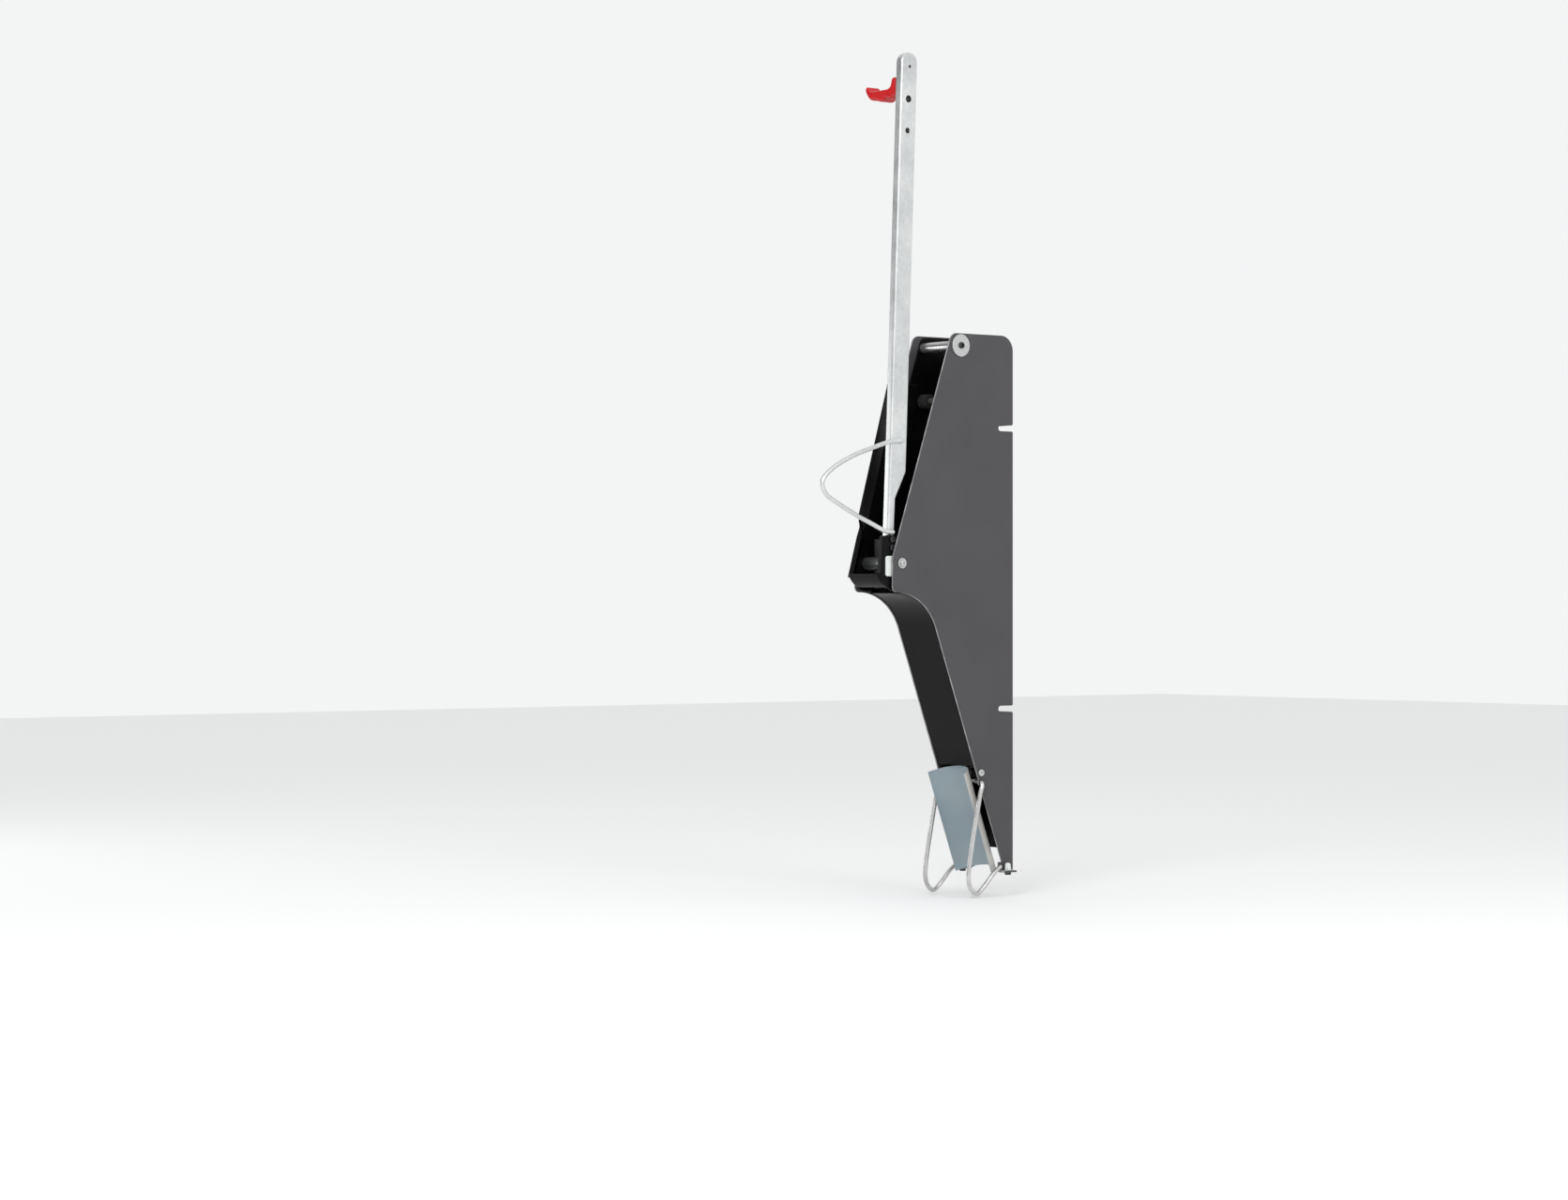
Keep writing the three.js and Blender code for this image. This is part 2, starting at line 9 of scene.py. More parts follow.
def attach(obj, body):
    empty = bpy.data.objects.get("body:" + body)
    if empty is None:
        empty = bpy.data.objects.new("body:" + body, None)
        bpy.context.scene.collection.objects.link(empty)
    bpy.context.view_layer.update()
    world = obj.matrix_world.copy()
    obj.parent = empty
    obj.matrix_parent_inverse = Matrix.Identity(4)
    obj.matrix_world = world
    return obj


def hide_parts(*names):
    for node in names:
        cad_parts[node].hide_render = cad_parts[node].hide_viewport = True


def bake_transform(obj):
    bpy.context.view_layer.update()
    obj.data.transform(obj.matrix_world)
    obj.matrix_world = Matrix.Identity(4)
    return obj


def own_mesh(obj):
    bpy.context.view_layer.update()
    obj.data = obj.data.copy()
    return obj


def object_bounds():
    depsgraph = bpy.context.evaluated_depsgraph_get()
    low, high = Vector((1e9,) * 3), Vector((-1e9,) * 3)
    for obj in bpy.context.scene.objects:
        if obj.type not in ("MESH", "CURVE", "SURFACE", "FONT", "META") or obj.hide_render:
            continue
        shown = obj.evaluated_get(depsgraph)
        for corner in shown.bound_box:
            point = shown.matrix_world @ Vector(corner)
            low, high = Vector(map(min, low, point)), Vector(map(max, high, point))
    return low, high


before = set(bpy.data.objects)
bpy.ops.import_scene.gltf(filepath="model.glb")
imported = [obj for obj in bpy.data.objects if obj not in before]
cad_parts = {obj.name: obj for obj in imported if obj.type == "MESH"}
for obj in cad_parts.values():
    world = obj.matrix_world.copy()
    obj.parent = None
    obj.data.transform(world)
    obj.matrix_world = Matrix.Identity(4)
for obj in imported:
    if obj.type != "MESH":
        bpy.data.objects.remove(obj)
cad_box = [list(map(float, corner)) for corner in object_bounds()]

# ----------------------------------------------------------
# Studio: a pale floor under the hanging rack, a pale room in shade at its front
# left corner, and three soft lights. The camera looks at the rack's right side
# from the front.
MM = 0.001
LOOK_AZIMUTH = math.radians(51.9)
LENS_LENGTH = 86.1244
LOOK_DISTANCE = 5855
SENSOR_WIDTH = 36
AIM = (0, -120, 140)
SIDEWAYS = 236.1
UPWARDS = 189.4
FLOOR_HALF = 9000
FLOOR_GAP = 4


def add_object(name, data):
    made = bpy.data.objects.new(name, data)
    bpy.context.scene.collection.objects.link(made)
    return made


def add_piece(name, points, faces):
    """A mesh piece from points in millimetres, an (n, 3) array, and a list of faces."""
    mesh = bpy.data.meshes.new(name)
    mesh.from_pydata((points * MM).tolist(), [], [list(map(int, face)) for face in faces])
    mesh.validate()
    return add_object(name, mesh)


forward = Vector((-math.sin(LOOK_AZIMUTH), math.cos(LOOK_AZIMUTH), 0))
rightward = Vector((math.cos(LOOK_AZIMUTH), math.sin(LOOK_AZIMUTH), 0))
camera_data = bpy.data.cameras.new("camera")
camera_data.sensor_width = SENSOR_WIDTH
camera_data.lens = LENS_LENGTH
camera_data.clip_end = 60
camera = add_object("camera", camera_data)
stand = Vector(AIM) - forward * LOOK_DISTANCE - rightward * SIDEWAYS - Vector((0, 0, UPWARDS))
turn = Matrix((rightward, Vector((0, 0, 1)), -forward)).transposed()
camera.matrix_world = Matrix.Translation(stand * MM) @ turn.to_4x4()
bpy.context.scene.camera = camera

floor_z = cad_box[0][2] / MM - FLOOR_GAP
floor_turns = ((-1, -1), (1, -1), (1, 1), (-1, 1))
floor_corners = np.array([(x * FLOOR_HALF, y * FLOOR_HALF, floor_z) for x, y in floor_turns])
studio_floor = add_piece("studio_floor", floor_corners, [(0, 1, 2, 3)])
floor_finish = bpy.data.materials.new("pale_floor")
floor_finish.use_nodes = True
floor_shader = floor_finish.node_tree.nodes["Principled BSDF"]
floor_shader.inputs["Base Color"].default_value = (0.92, 0.92, 0.92, 1)
floor_shader.inputs["Roughness"].default_value = 0.8
studio_floor.data.materials.append(floor_finish)

bpy.context.scene.view_settings.view_transform = "Standard"
room = bpy.data.worlds.new("pale_room")
bpy.context.scene.world = room
room.use_nodes = True
room_nodes = room.node_tree.nodes
SHADED_CORNER = (-0.787, -0.617, 0)
SHADE_STARTS = 0.45
SHADE_FULL = 0.95
PALE_ROOM = (0.90, 0.905, 0.91, 1)
SHADED_ROOM = (0.24, 0.245, 0.25, 1)

# The room is pale all round but for its front left corner, which is in shade.
looking = room_nodes.new("ShaderNodeTexCoord")
towards = room_nodes.new("ShaderNodeVectorMath")
towards.operation = "DOT_PRODUCT"
towards.inputs[1].default_value = SHADED_CORNER
shade = room_nodes.new("ShaderNodeMapRange")
shade.interpolation_type = "SMOOTHSTEP"
shade.inputs["From Min"].default_value = SHADE_STARTS
shade.inputs["From Max"].default_value = SHADE_FULL
room_tone = room_nodes.new("ShaderNodeMix")
room_tone.data_type = "RGBA"
room_tone.inputs[6].default_value = PALE_ROOM
room_tone.inputs[7].default_value = SHADED_ROOM
for output, target in (
    (looking.outputs["Generated"], towards.inputs[0]),
    (towards.outputs["Value"], shade.inputs["Value"]),
    (shade.outputs["Result"], room_tone.inputs[0]),
    (room_tone.outputs[2], room_nodes["Background"].inputs["Color"]),
):
    room.node_tree.links.new(output, target)
room_nodes["Background"].inputs["Strength"].default_value = 1.0

LIGHT_AIM = Vector((0, -0.1, 0.1))
for name, place, size, watts in (
    ("key_light", (1.6, -2.6, 2.2), 1.2, 30),
    ("side_light", (2.8, -0.4, 1.4), 1.2, 16),
    ("left_light", (-2.6, -2.0, 0.2), 0.7, 9),
):
    lamp_data = bpy.data.lights.new(name, "AREA")
    lamp_data.size = size
    lamp_data.energy = watts
    lamp = add_object(name, lamp_data)
    lamp.location = place
    lamp.rotation_euler = (LIGHT_AIM - Vector(place)).to_track_quat("-Z", "Y").to_euler()

# ----------------------------------------------------------
# Side plates: 3 mm sheet steel, laser cut, with two hanging slots in the rear
# edge and a foot flange bent outward at the bottom. Fine anthracite powder
# coat, paler along the cut edges, partly thin worn coat and partly painted highlight.
PLATE_OUTER = 47
PLATE_INNER = 44
PLATE_TOP = 365
PLATE_BOTTOM = -473
NOSE_FRONT = -245
NOSE_UNDERSIDE = -37.5
COVE_RADIUS = 84
COVE_CORNER = -178
TOE_FRONT = -18
PIVOT = (-227, 7)
TOP_TIE = (-109, 346)
LOWER_SCREW = (-67, -319)
GUIDE_HOLE = (-66, -334)
SIDES = ((1, "right"), (-1, "left"))
SLOT_HEIGHTS = (-220, 220)
SLOT_HALF = 4.75
SLOT_DEPTH = 30
SCREW_HOLE = 3.4
PIVOT_HOLE = 6.3
FLANGE_EDGE = 61
FLANGE_ROOT = -460


def rounded_outline(corners, step=0.12):
    """Corners (u, v, radius) as one closed loop of points: straight between corners, and at each
    corner a tangent arc of that radius, with a point about every `step` radians."""
    loop = []
    count = len(corners)
    for i, corner in enumerate(corners):
        here = np.array(corner[:2], float)
        radius = corner[2] if len(corner) > 2 else 0
        back = np.array(corners[i - 1][:2]) - here
        ahead = np.array(corners[(i + 1) % count][:2]) - here
        back /= np.linalg.norm(back)
        ahead /= np.linalg.norm(ahead)
        if not radius:
            loop.append(here[None])
            continue
        half = math.acos(np.clip(back @ ahead, -1, 1)) / 2
        start = here + back * radius / math.tan(half)
        middle = back + ahead
        centre = here + middle / np.linalg.norm(middle) * radius / math.sin(half)
        swing = math.pi - 2 * half
        if back[0] * ahead[1] - back[1] * ahead[0] > 0:
            swing = -swing
        angles = np.linspace(0, swing, max(3, int(abs(swing) / step) + 2))
        arm = start - centre
        turned = rays(angles)
        loop.append(centre + turned[:, :1] * arm + turned[:, 1:] * [-arm[1], arm[0]])
    return np.concatenate(loop)


def rays(angles):
    """Unit vectors (cosine, sine) at one angle or an array of them."""
    return np.stack([np.cos(angles), np.sin(angles)], -1)


def circle(place, radius, count=40):
    """A loop of points round a hole."""
    angles = np.linspace(0, 2 * math.pi, count, endpoint=False)
    return np.array(place) + radius * rays(angles)


def even_shading(piece, sharp_degrees=38):
    """Smooth faces that keep flats flat: sharp edges by angle, then face-weighted normals."""
    mesh = piece.data
    mesh.polygons.foreach_set("use_smooth", np.ones(len(mesh.polygons), bool))
    mesh.set_sharp_from_angle(angle=math.radians(sharp_degrees))
    weighted = piece.modifiers.new("even_normals", "WEIGHTED_NORMAL")
    weighted.weight = 100
    weighted.keep_sharp = True


def weld(piece, distance=1e-6):
    """Merges points that meet, drops loose edges, fills gaps of up to four sides, and turns all
    faces outward."""
    made = bmesh.new()
    made.from_mesh(piece.data)
    bmesh.ops.remove_doubles(made, verts=made.verts, dist=distance)
    bmesh.ops.dissolve_degenerate(made, dist=distance, edges=made.edges)
    loose = [edge for edge in made.edges if edge.is_wire]
    bmesh.ops.delete(made, geom=loose, context="EDGES")
    gaps = [edge for edge in made.edges if edge.is_boundary]
    bmesh.ops.holes_fill(made, edges=gaps, sides=4)
    bmesh.ops.recalc_face_normals(made, faces=made.faces)
    made.to_mesh(piece.data)
    made.free()


def vertex_places(mesh):
    """The mesh's points in metres, as an (n, 3) array."""
    places = np.empty(len(mesh.vertices) * 3)
    mesh.vertices.foreach_get("co", places)
    return places.reshape(-1, 3)


def cut_sheet(name, loops, low, high, rounding, across="x"):
    """A flat sheet filled between its outline and its holes, with rounded rims. The loops are
    (Y, Z) points for a sheet that spans x = low..high, or (X, Z) points for one across y."""
    outline = bpy.data.curves.new(name + "_outline", "CURVE")
    outline.dimensions = "2D"
    outline.fill_mode = "BOTH"
    outline.extrude = ((high - low) / 2 - rounding) * MM
    outline.bevel_depth = rounding * MM
    outline.bevel_resolution = 2
    outline.offset = -rounding * MM
    for loop in loops:
        spline = outline.splines.new("POLY")
        spline.points.add(len(loop) - 1)
        ones = np.ones(len(loop))
        places = np.stack([loop[:, 0] * MM, loop[:, 1] * MM, 0 * ones, ones], 1)
        spline.points.foreach_set("co", places.ravel())
        spline.use_cyclic_u = True
    drawn = add_object(name + "_outline", outline)
    depsgraph = bpy.context.evaluated_depsgraph_get()
    mesh = bpy.data.meshes.new_from_object(drawn.evaluated_get(depsgraph))
    bpy.data.objects.remove(drawn)
    u, v, thick = vertex_places(mesh).T
    middle = (low + high) / 2 * MM
    if across == "x":
        placed = np.stack([thick + middle, u, v], 1)
    else:
        placed = np.stack([u, middle - thick, v], 1)
    mesh.vertices.foreach_set("co", placed.ravel())
    mesh.name = name
    piece = add_object(name, mesh)
    weld(piece)
    even_shading(piece)
    return piece


def join(name, pieces):
    """Several shells as one piece: their points and faces, one after another."""
    made = bmesh.new()
    for piece in pieces:
        made.from_mesh(piece.data)
        mesh = piece.data
        bpy.data.objects.remove(piece)
        bpy.data.meshes.remove(mesh)
    mesh = bpy.data.meshes.new(name)
    made.to_mesh(mesh)
    made.free()
    whole = add_object(name, mesh)
    even_shading(whole)
    return whole


class Finish:
    """A material being wired up: a Principled shader fed by patterns on Object coordinates."""

    def __init__(self, name, roughness, metallic=0.0, **even):
        self.material = bpy.data.materials.new(name)
        self.material.use_nodes = True
        self.tree = self.material.node_tree
        self.shader = self.tree.nodes["Principled BSDF"]
        self.shader.inputs["Roughness"].default_value = roughness
        self.shader.inputs["Metallic"].default_value = metallic
        for socket, value in even.items():
            self.shader.inputs[socket.replace("_", " ")].default_value = value
        self.place = self.tree.nodes.new("ShaderNodeTexCoord").outputs["Object"]

    def node(self, kind, **values):
        made = self.tree.nodes.new("ShaderNode" + kind)
        for key, value in values.items():
            if hasattr(made, key):
                setattr(made, key, value)
            else:
                made.inputs[key.replace("_", " ")].default_value = value
        return made

    def link(self, output, target):
        self.tree.links.new(output, target)

    def stretched(self, scale):
        """Object coordinates scaled unevenly, for grain that runs one way."""
        mapping = self.node("Mapping", Scale=scale)
        self.link(self.place, mapping.inputs["Vector"])
        return mapping.outputs["Vector"]

    def texture(self, kind, vector=None, **values):
        """The outputs of a texture on Object coordinates, or on another vector."""
        made = self.node("Tex" + kind, **values)
        self.link(vector or self.place, made.inputs["Vector"])
        return made.outputs

    def noise(self, scale, detail=3, vector=None):
        return self.texture("Noise", vector, Scale=scale, Detail=detail)["Fac"]

    def spread(self, value, low, high, to_low, to_high):
        """The value carried from low..high onto to_low..to_high."""
        made = self.node(
            "MapRange", From_Min=low, From_Max=high, To_Min=to_low, To_Max=to_high
        )
        self.link(value, made.inputs["Value"])
        return made.outputs["Result"]

    def cloud(self, scale, detail, reach=0.15, low=0, high=1):
        """Noise, its middle band of 0.5 plus or minus reach carried onto low..high."""
        return self.spread(self.noise(scale, detail), 0.5 - reach, 0.5 + reach, low, high)

    def maths(self, operation, first, second):
        made = self.node("Math", operation=operation)
        for slot, value in enumerate((first, second)):
            if isinstance(value, (int, float)):
                made.inputs[slot].default_value = value
            else:
                self.link(value, made.inputs[slot])
        return made.outputs["Value"]

    def blend(self, share, first, second):
        """Two colours mixed by share; each is a linear RGB triple or an output."""
        made = self.node("Mix", data_type="RGBA")
        self.link(share, made.inputs[0])
        for slot, colour in ((6, first), (7, second)):
            if isinstance(colour, tuple):
                made.inputs[slot].default_value = (*colour, 1)
            else:
                self.link(colour, made.inputs[slot])
        return made.outputs[2]

    def colour(self, output):
        self.link(output, self.shader.inputs["Base Color"])

    def roughness(self, output):
        self.link(output, self.shader.inputs["Roughness"])

    def bump(self, height, strength, distance):
        made = self.node("Bump", Strength=strength, Distance=distance)
        self.link(height, made.inputs["Height"])
        self.link(made.outputs["Normal"], self.shader.inputs["Normal"])

    def rims(self):
        """1 on cut edges, which face along the sheet, and 0 on faces towards plus or minus X."""
        split = self.node("SeparateXYZ")
        self.link(self.node("NewGeometry").outputs["Normal"], split.inputs[0])
        return self.spread(self.maths("ABSOLUTE", split.outputs[0], 0), 0.75, 0.35, 0, 1)


def powder_coat(name, base, light, roughness, grain, edge=None, sheen=0.5):
    """Powder coat: a fine orange-peel bump and a faint cloudy tone; where edge is a colour, that
    colour shows along the cut edges, partly as thin worn coat and partly as a painted edge
    highlight."""
    coat = Finish(name, roughness, IOR=1.5, Specular_IOR_Level=sheen)
    tone = coat.blend(coat.cloud(9, 4), base, light)
    if edge:
        # The pale cut-edge colour is partly a thin worn coat and partly a painted edge highlight.
        edge_wear_and_highlight = coat.spread(coat.noise(60, 5), 0.42, 0.62, 0.55, 1)
        tone = coat.blend(coat.maths("MULTIPLY", coat.rims(), edge_wear_and_highlight), tone, edge)
    coat.colour(tone)
    coat.roughness(coat.cloud(14, 5, 0.2, roughness - 0.05, roughness + 0.07))
    speck = coat.maths("MULTIPLY", coat.noise(1400, 2), 0.4)
    peel = coat.maths("ADD", coat.noise(grain, 3), speck)
    coat.bump(peel, 0.28, 0.00012)
    return coat.material


ANTHRACITE = (0.060, 0.057, 0.062)
ANTHRACITE_LIGHT = (0.068, 0.065, 0.070)
# Pale colour on the plates' cut edges: partly worn coat, partly a painted edge highlight.
PALE_EDGE_AND_HIGHLIGHT = (0.40, 0.40, 0.41)
anthracite_coat = powder_coat(
    "anthracite_coat", ANTHRACITE, ANTHRACITE_LIGHT, 0.50, 620, PALE_EDGE_AND_HIGHLIGHT, 0.35
)


def hand_over(piece, material, body, *nodes, slot=None):
    """Gives a finished piece its material, its body, and the CAD nodes that it stands for. A piece
    that bends between two bodies is given no body here."""
    piece.data.materials.append(material)
    if body:
        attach(piece, body)
    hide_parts(*nodes)


def plate_corners():
    """The plate's corners (Y, Z, radius): rear edge with two lead-in slots, rounded top, slanted
    front, nose, cove and straight edge down to the toe."""
    corners = [(0, PLATE_BOTTOM, 0.8)]
    for height in SLOT_HEIGHTS:
        low, high = height - SLOT_HALF, height + SLOT_HALF
        corners += [(0, low - 1.45), (-2, low, 1), (-SLOT_DEPTH, low, 4.7)]
        corners += [(-SLOT_DEPTH, high, 4.7), (-2, high, 1), (0, high + 1.45)]
    return corners + [
        (0, PLATE_TOP, 24), (-126, PLATE_TOP, 14), (NOSE_FRONT, 15, 15),
        (NOSE_FRONT, NOSE_UNDERSIDE, 8), (COVE_CORNER, NOSE_UNDERSIDE, COVE_RADIUS),
        (TOE_FRONT, PLATE_BOTTOM, 4),
    ]


def foot_flange(sign):
    """The flange: an L profile with a bend, (X, Z), carried from y = -30 to y = -4."""
    profile = rounded_outline(
        [
            (PLATE_INNER + 0.1, FLANGE_ROOT, 0.4),
            (PLATE_INNER + 0.1, PLATE_BOTTOM - 3, 4.5),
            (FLANGE_EDGE, PLATE_BOTTOM - 3, 1.2), (FLANGE_EDGE, PLATE_BOTTOM, 1.2),
            (PLATE_OUTER - 0.1, PLATE_BOTTOM, 1.5), (PLATE_OUTER - 0.1, FLANGE_ROOT, 0.4),
        ],
        0.3,
    )
    profile[:, 0] *= sign
    return cut_sheet("flange", [profile], -30, -4, 0.5, across="y")


for sign, side in SIDES:
    low, high = sorted((sign * PLATE_INNER, sign * PLATE_OUTER))
    loops = [
        rounded_outline(plate_corners(), 0.05),
        circle(PIVOT, PIVOT_HOLE),
        circle(TOP_TIE, SCREW_HOLE),
        circle(LOWER_SCREW, SCREW_HOLE),
        circle(GUIDE_HOLE, 5.1),
    ]
    sheet = cut_sheet("sheet", loops, low, high, 0.45)
    plate = join("plate_" + side, [sheet, foot_flange(sign)])
    hand_over(plate, anthracite_coat, "housing", "side_plate_" + side)

# ----------------------------------------------------------
# Back channel: a U folded from 2.2 mm sheet, black powder coat. Its walls lie
# inside the plates; its back web rests on the wall rail and is cut by the slots.
CHANNEL_OUTER = 43.7
CHANNEL_INNER = 41.5
CHANNEL_FOOT = -440
CHANNEL_TOP = PLATE_TOP - 2
WEB_TOP = 341
PIN_HOLE = 5.2
PULL_ANGLE = math.radians(24.5)
PULL_RADIUS = 35.3
ANCHOR_AT = 390
STOP = (-112, 262)
pull_out = rays(PULL_ANGLE)
pull_start = np.array(PIVOT) + PULL_RADIUS * pull_out
pull_along = np.array([math.sin(PULL_ANGLE), -math.cos(PULL_ANGLE)])
anchor_place = pull_start + ANCHOR_AT * pull_along

black_coat = powder_coat(
    "black_coat", (0.003, 0.003, 0.0034), (0.0052, 0.0052, 0.0056), 0.27, 480, sheen=0.1
)


def channel_corners():
    """The wall's corners (Y, Z, radius), cut by the same two slots as the plates."""
    corners = [(-0.6, CHANNEL_FOOT, 2)]
    for height in SLOT_HEIGHTS:
        low, high = height - SLOT_HALF, height + SLOT_HALF
        corners += [(-0.6, low), (-SLOT_DEPTH, low, 4.7), (-SLOT_DEPTH, high, 4.7), (-0.6, high)]
    return corners + [
        (-0.6, CHANNEL_TOP, 22), (-112, CHANNEL_TOP, 12), (-215, 60, 8), (-192, 0, 20),
        (-133, -120, 30), (-15, CHANNEL_FOOT, 3),
    ]


channel_shells = []
for sign, side in SIDES:
    low, high = sorted((sign * CHANNEL_INNER, sign * CHANNEL_OUTER))
    loops = [
        rounded_outline(channel_corners(), 0.08),
        circle(TOP_TIE, SCREW_HOLE),
        circle(STOP, PIN_HOLE),
        circle(anchor_place, PIN_HOLE),
    ]
    channel_shells.append(cut_sheet("channel_wall", loops, low, high, 0.3))
web_edges = [CHANNEL_FOOT]
for height in SLOT_HEIGHTS:
    web_edges += [height - SLOT_HALF, height + SLOT_HALF]
web_edges.append(WEB_TOP)
for bottom, top in zip(web_edges[::2], web_edges[1::2]):
    across = CHANNEL_OUTER
    corners = [(-across, bottom, 1), (across, bottom, 1), (across, top, 1), (-across, top, 1)]
    web = cut_sheet("channel_web", [rounded_outline(corners)], -2.2, 0, 0.5, across="y")
    channel_shells.append(web)
hand_over(join("channel", channel_shells), black_coat, "housing", "back_channel")

# ----------------------------------------------------------
# Front cover: black sheet 2.5 mm thick with turned-in sides, rolled to the
# cove and then straight down the slant, with a slight swell half way down and
# a slight hollow below it.
EDGE_TILT = math.atan2(TOE_FRONT - COVE_CORNER, NOSE_UNDERSIDE - PLATE_BOTTOM)
COVER_STRAIGHT = 230
COVER_SIDE = 9
SWELLS = ((1.6, 205, 42), (-0.9, 290, 12))
LUG_INNER = 34
edge_down = np.array([math.sin(EDGE_TILT), -math.cos(EDGE_TILT)])
edge_behind = rays(EDGE_TILT)
cove_tangent = COVE_RADIUS * math.tan((math.pi / 2 - EDGE_TILT) / 2)
cove_centre = np.array([COVE_CORNER - cove_tangent, NOSE_UNDERSIDE - COVE_RADIUS])


def grid_faces(rows, columns, wrap=False):
    """Quads over a grid of rows x columns points, closed round the columns where wrap is set."""
    i = np.arange(rows - 1)[:, None]
    j = np.arange(columns if wrap else columns - 1)[None, :]
    ahead = (j + 1) % columns
    quads = np.stack(
        [i * columns + j, i * columns + ahead, (i + 1) * columns + ahead, (i + 1) * columns + j], -1
    )
    return quads.reshape(-1, 4).tolist()


def carry(name, profile, path, normals, swell=None):
    """A closed profile of (x, depth) points, or one for each row, carried along a (Y, Z) path: each
    point lies at the path's point plus depth times the path's normal. Flat caps close both ends."""
    rows, columns = len(path), profile.shape[-2]
    depth = np.broadcast_to(profile[..., 1], (rows, columns))
    if swell is not None:
        depth = depth - swell[:, None]
    x = np.broadcast_to(profile[..., 0], (rows, columns))
    y = path[:, :1] + depth * normals[:, :1]
    z = path[:, 1:] + depth * normals[:, 1:]
    points = np.stack([x, y, z], -1).reshape(-1, 3)
    faces = grid_faces(rows, columns, wrap=True)
    last = (rows - 1) * columns
    faces.append(list(range(columns))[::-1])
    faces.append([last + j for j in range(columns)])
    piece = add_piece(name, points, faces)
    weld(piece)
    return piece


def cover_path():
    """The cover's line on the plates' edge: the cove's arc, then the straight slant; and its
    normals, which point into the housing."""
    ray = rays(np.linspace(math.radians(75), EDGE_TILT, 30))
    arc = cove_centre + COVE_RADIUS * ray
    steps = np.linspace(0, COVER_STRAIGHT, 64)[1:, None]
    straight = arc[-1] + steps * edge_down
    normals = np.concatenate([ray, np.repeat(ray[-1:], len(steps), 0)])
    return np.concatenate([arc, straight]), normals


path, normals = cover_path()
profile = rounded_outline(
    [
        (-CHANNEL_OUTER, 1.2, 2.2), (CHANNEL_OUTER, 1.2, 2.2),
        (CHANNEL_OUTER, COVER_SIDE, 0.6), (CHANNEL_INNER, COVER_SIDE, 0.6),
        (CHANNEL_INNER, 3.6, 0.8), (-CHANNEL_INNER, 3.6, 0.8),
        (-CHANNEL_INNER, COVER_SIDE, 0.6), (-CHANNEL_OUTER, COVER_SIDE, 0.6),
    ],
    0.35,
)
run = np.concatenate([[0], np.cumsum(np.linalg.norm(np.diff(path, axis=0), axis=1))])
# Each swell stands out by its height, most at its place along the cover, and fades over its reach.
swell = sum(height * np.exp(-(((run - at) / reach) ** 2)) for height, at, reach in SWELLS)
cover_shells = [carry("cover", profile, path, normals, swell)]
for sign, side in SIDES:
    low, high = sorted((sign * LUG_INNER, sign * CHANNEL_OUTER))
    rings = [circle(LOWER_SCREW, 7.5), circle(LOWER_SCREW, 3.3)]
    cover_shells.append(cut_sheet("lug", rings, low, high, 0.5))
hand_over(join("front_cover_shell", cover_shells), black_coat, "housing", "front_cover")

# ----------------------------------------------------------
# Wheel trough: a half-pipe of 1.5 mm sheet, satin blue-grey inside and pale
# outside, its wings standing in front of the plates with a rolled hem along each.
TROUGH_OUTER = 45.6
TROUGH_INNER = 44.1
TROUGH_MIDDLE = (TROUGH_OUTER + TROUGH_INNER) / 2
TROUGH_AXIS = -35.6
HEM_RADIUS = 1.5
trough_finish = Finish("blue_grey_coat", 0.4, IOR=1.5, Specular_IOR_Level=0.4)
trough_cloud = trough_finish.cloud(12, 4)
trough_inside = trough_finish.blend(trough_cloud, (0.27, 0.335, 0.37), (0.31, 0.38, 0.41))
trough_outside = trough_finish.blend(trough_cloud, (0.42, 0.41, 0.385), (0.50, 0.49, 0.46))
outer_skin = trough_finish.node("Attribute", attribute_name="outer_skin").outputs["Fac"]
trough_finish.colour(trough_finish.blend(outer_skin, trough_inside, trough_outside))
trough_finish.bump(trough_finish.noise(380, 3), 0.25, 0.00012)
trough_coat = trough_finish.material


def trough_profile():
    """An arc sheet seen along the trough, as (x, depth) with depth behind the plates' edge."""
    sweep = math.radians(72)
    arc = rays(np.linspace(-sweep, sweep, 44))[:, ::-1]
    hem = np.linspace(0, math.pi, 9)[1:-1]
    loop = [TROUGH_OUTER * arc]
    for end, spin in ((sweep, hem), (-sweep, math.pi - hem)):
        out = rays(end)[::-1]
        onward = np.array([out[1], -out[0]]) * math.copysign(1, end)
        bend = np.cos(spin)[:, None] * out + np.sin(spin)[:, None] * onward
        loop.append(TROUGH_MIDDLE * out + HEM_RADIUS * bend)
        if end > 0:
            loop.append(TROUGH_INNER * arc[::-1])
    return np.concatenate(loop) + [0, TROUGH_AXIS]


toe = np.array([TOE_FRONT, PLATE_BOTTOM])
steps = np.linspace(3, 171, 40)[:, None]
trough_line = toe - steps * edge_down
trough_normals = np.repeat(edge_behind[None], len(steps), 0)
trough = carry("trough", trough_profile(), trough_line, trough_normals)
skin = trough.data.attributes.new("outer_skin", "FLOAT", "POINT")
places = vertex_places(trough.data) / MM
depth = (places[:, 1:] - toe) @ edge_behind
outer = np.hypot(places[:, 0], depth - TROUGH_AXIS) > TROUGH_INNER + 0.8
skin.data.foreach_set("value", outer.astype(np.float32))
even_shading(trough, 50)
hand_over(trough, trough_coat, "housing", "wheel_trough")

# ----------------------------------------------------------
# Guide wires: 7 mm bright-plated wire, bent out through each plate and down
# past the toe, its lower end hooked back against the plate.
WIRE_RADIUS = 3.5
GUIDE_PLANE = PLATE_OUTER + 1.5 + WIRE_RADIUS


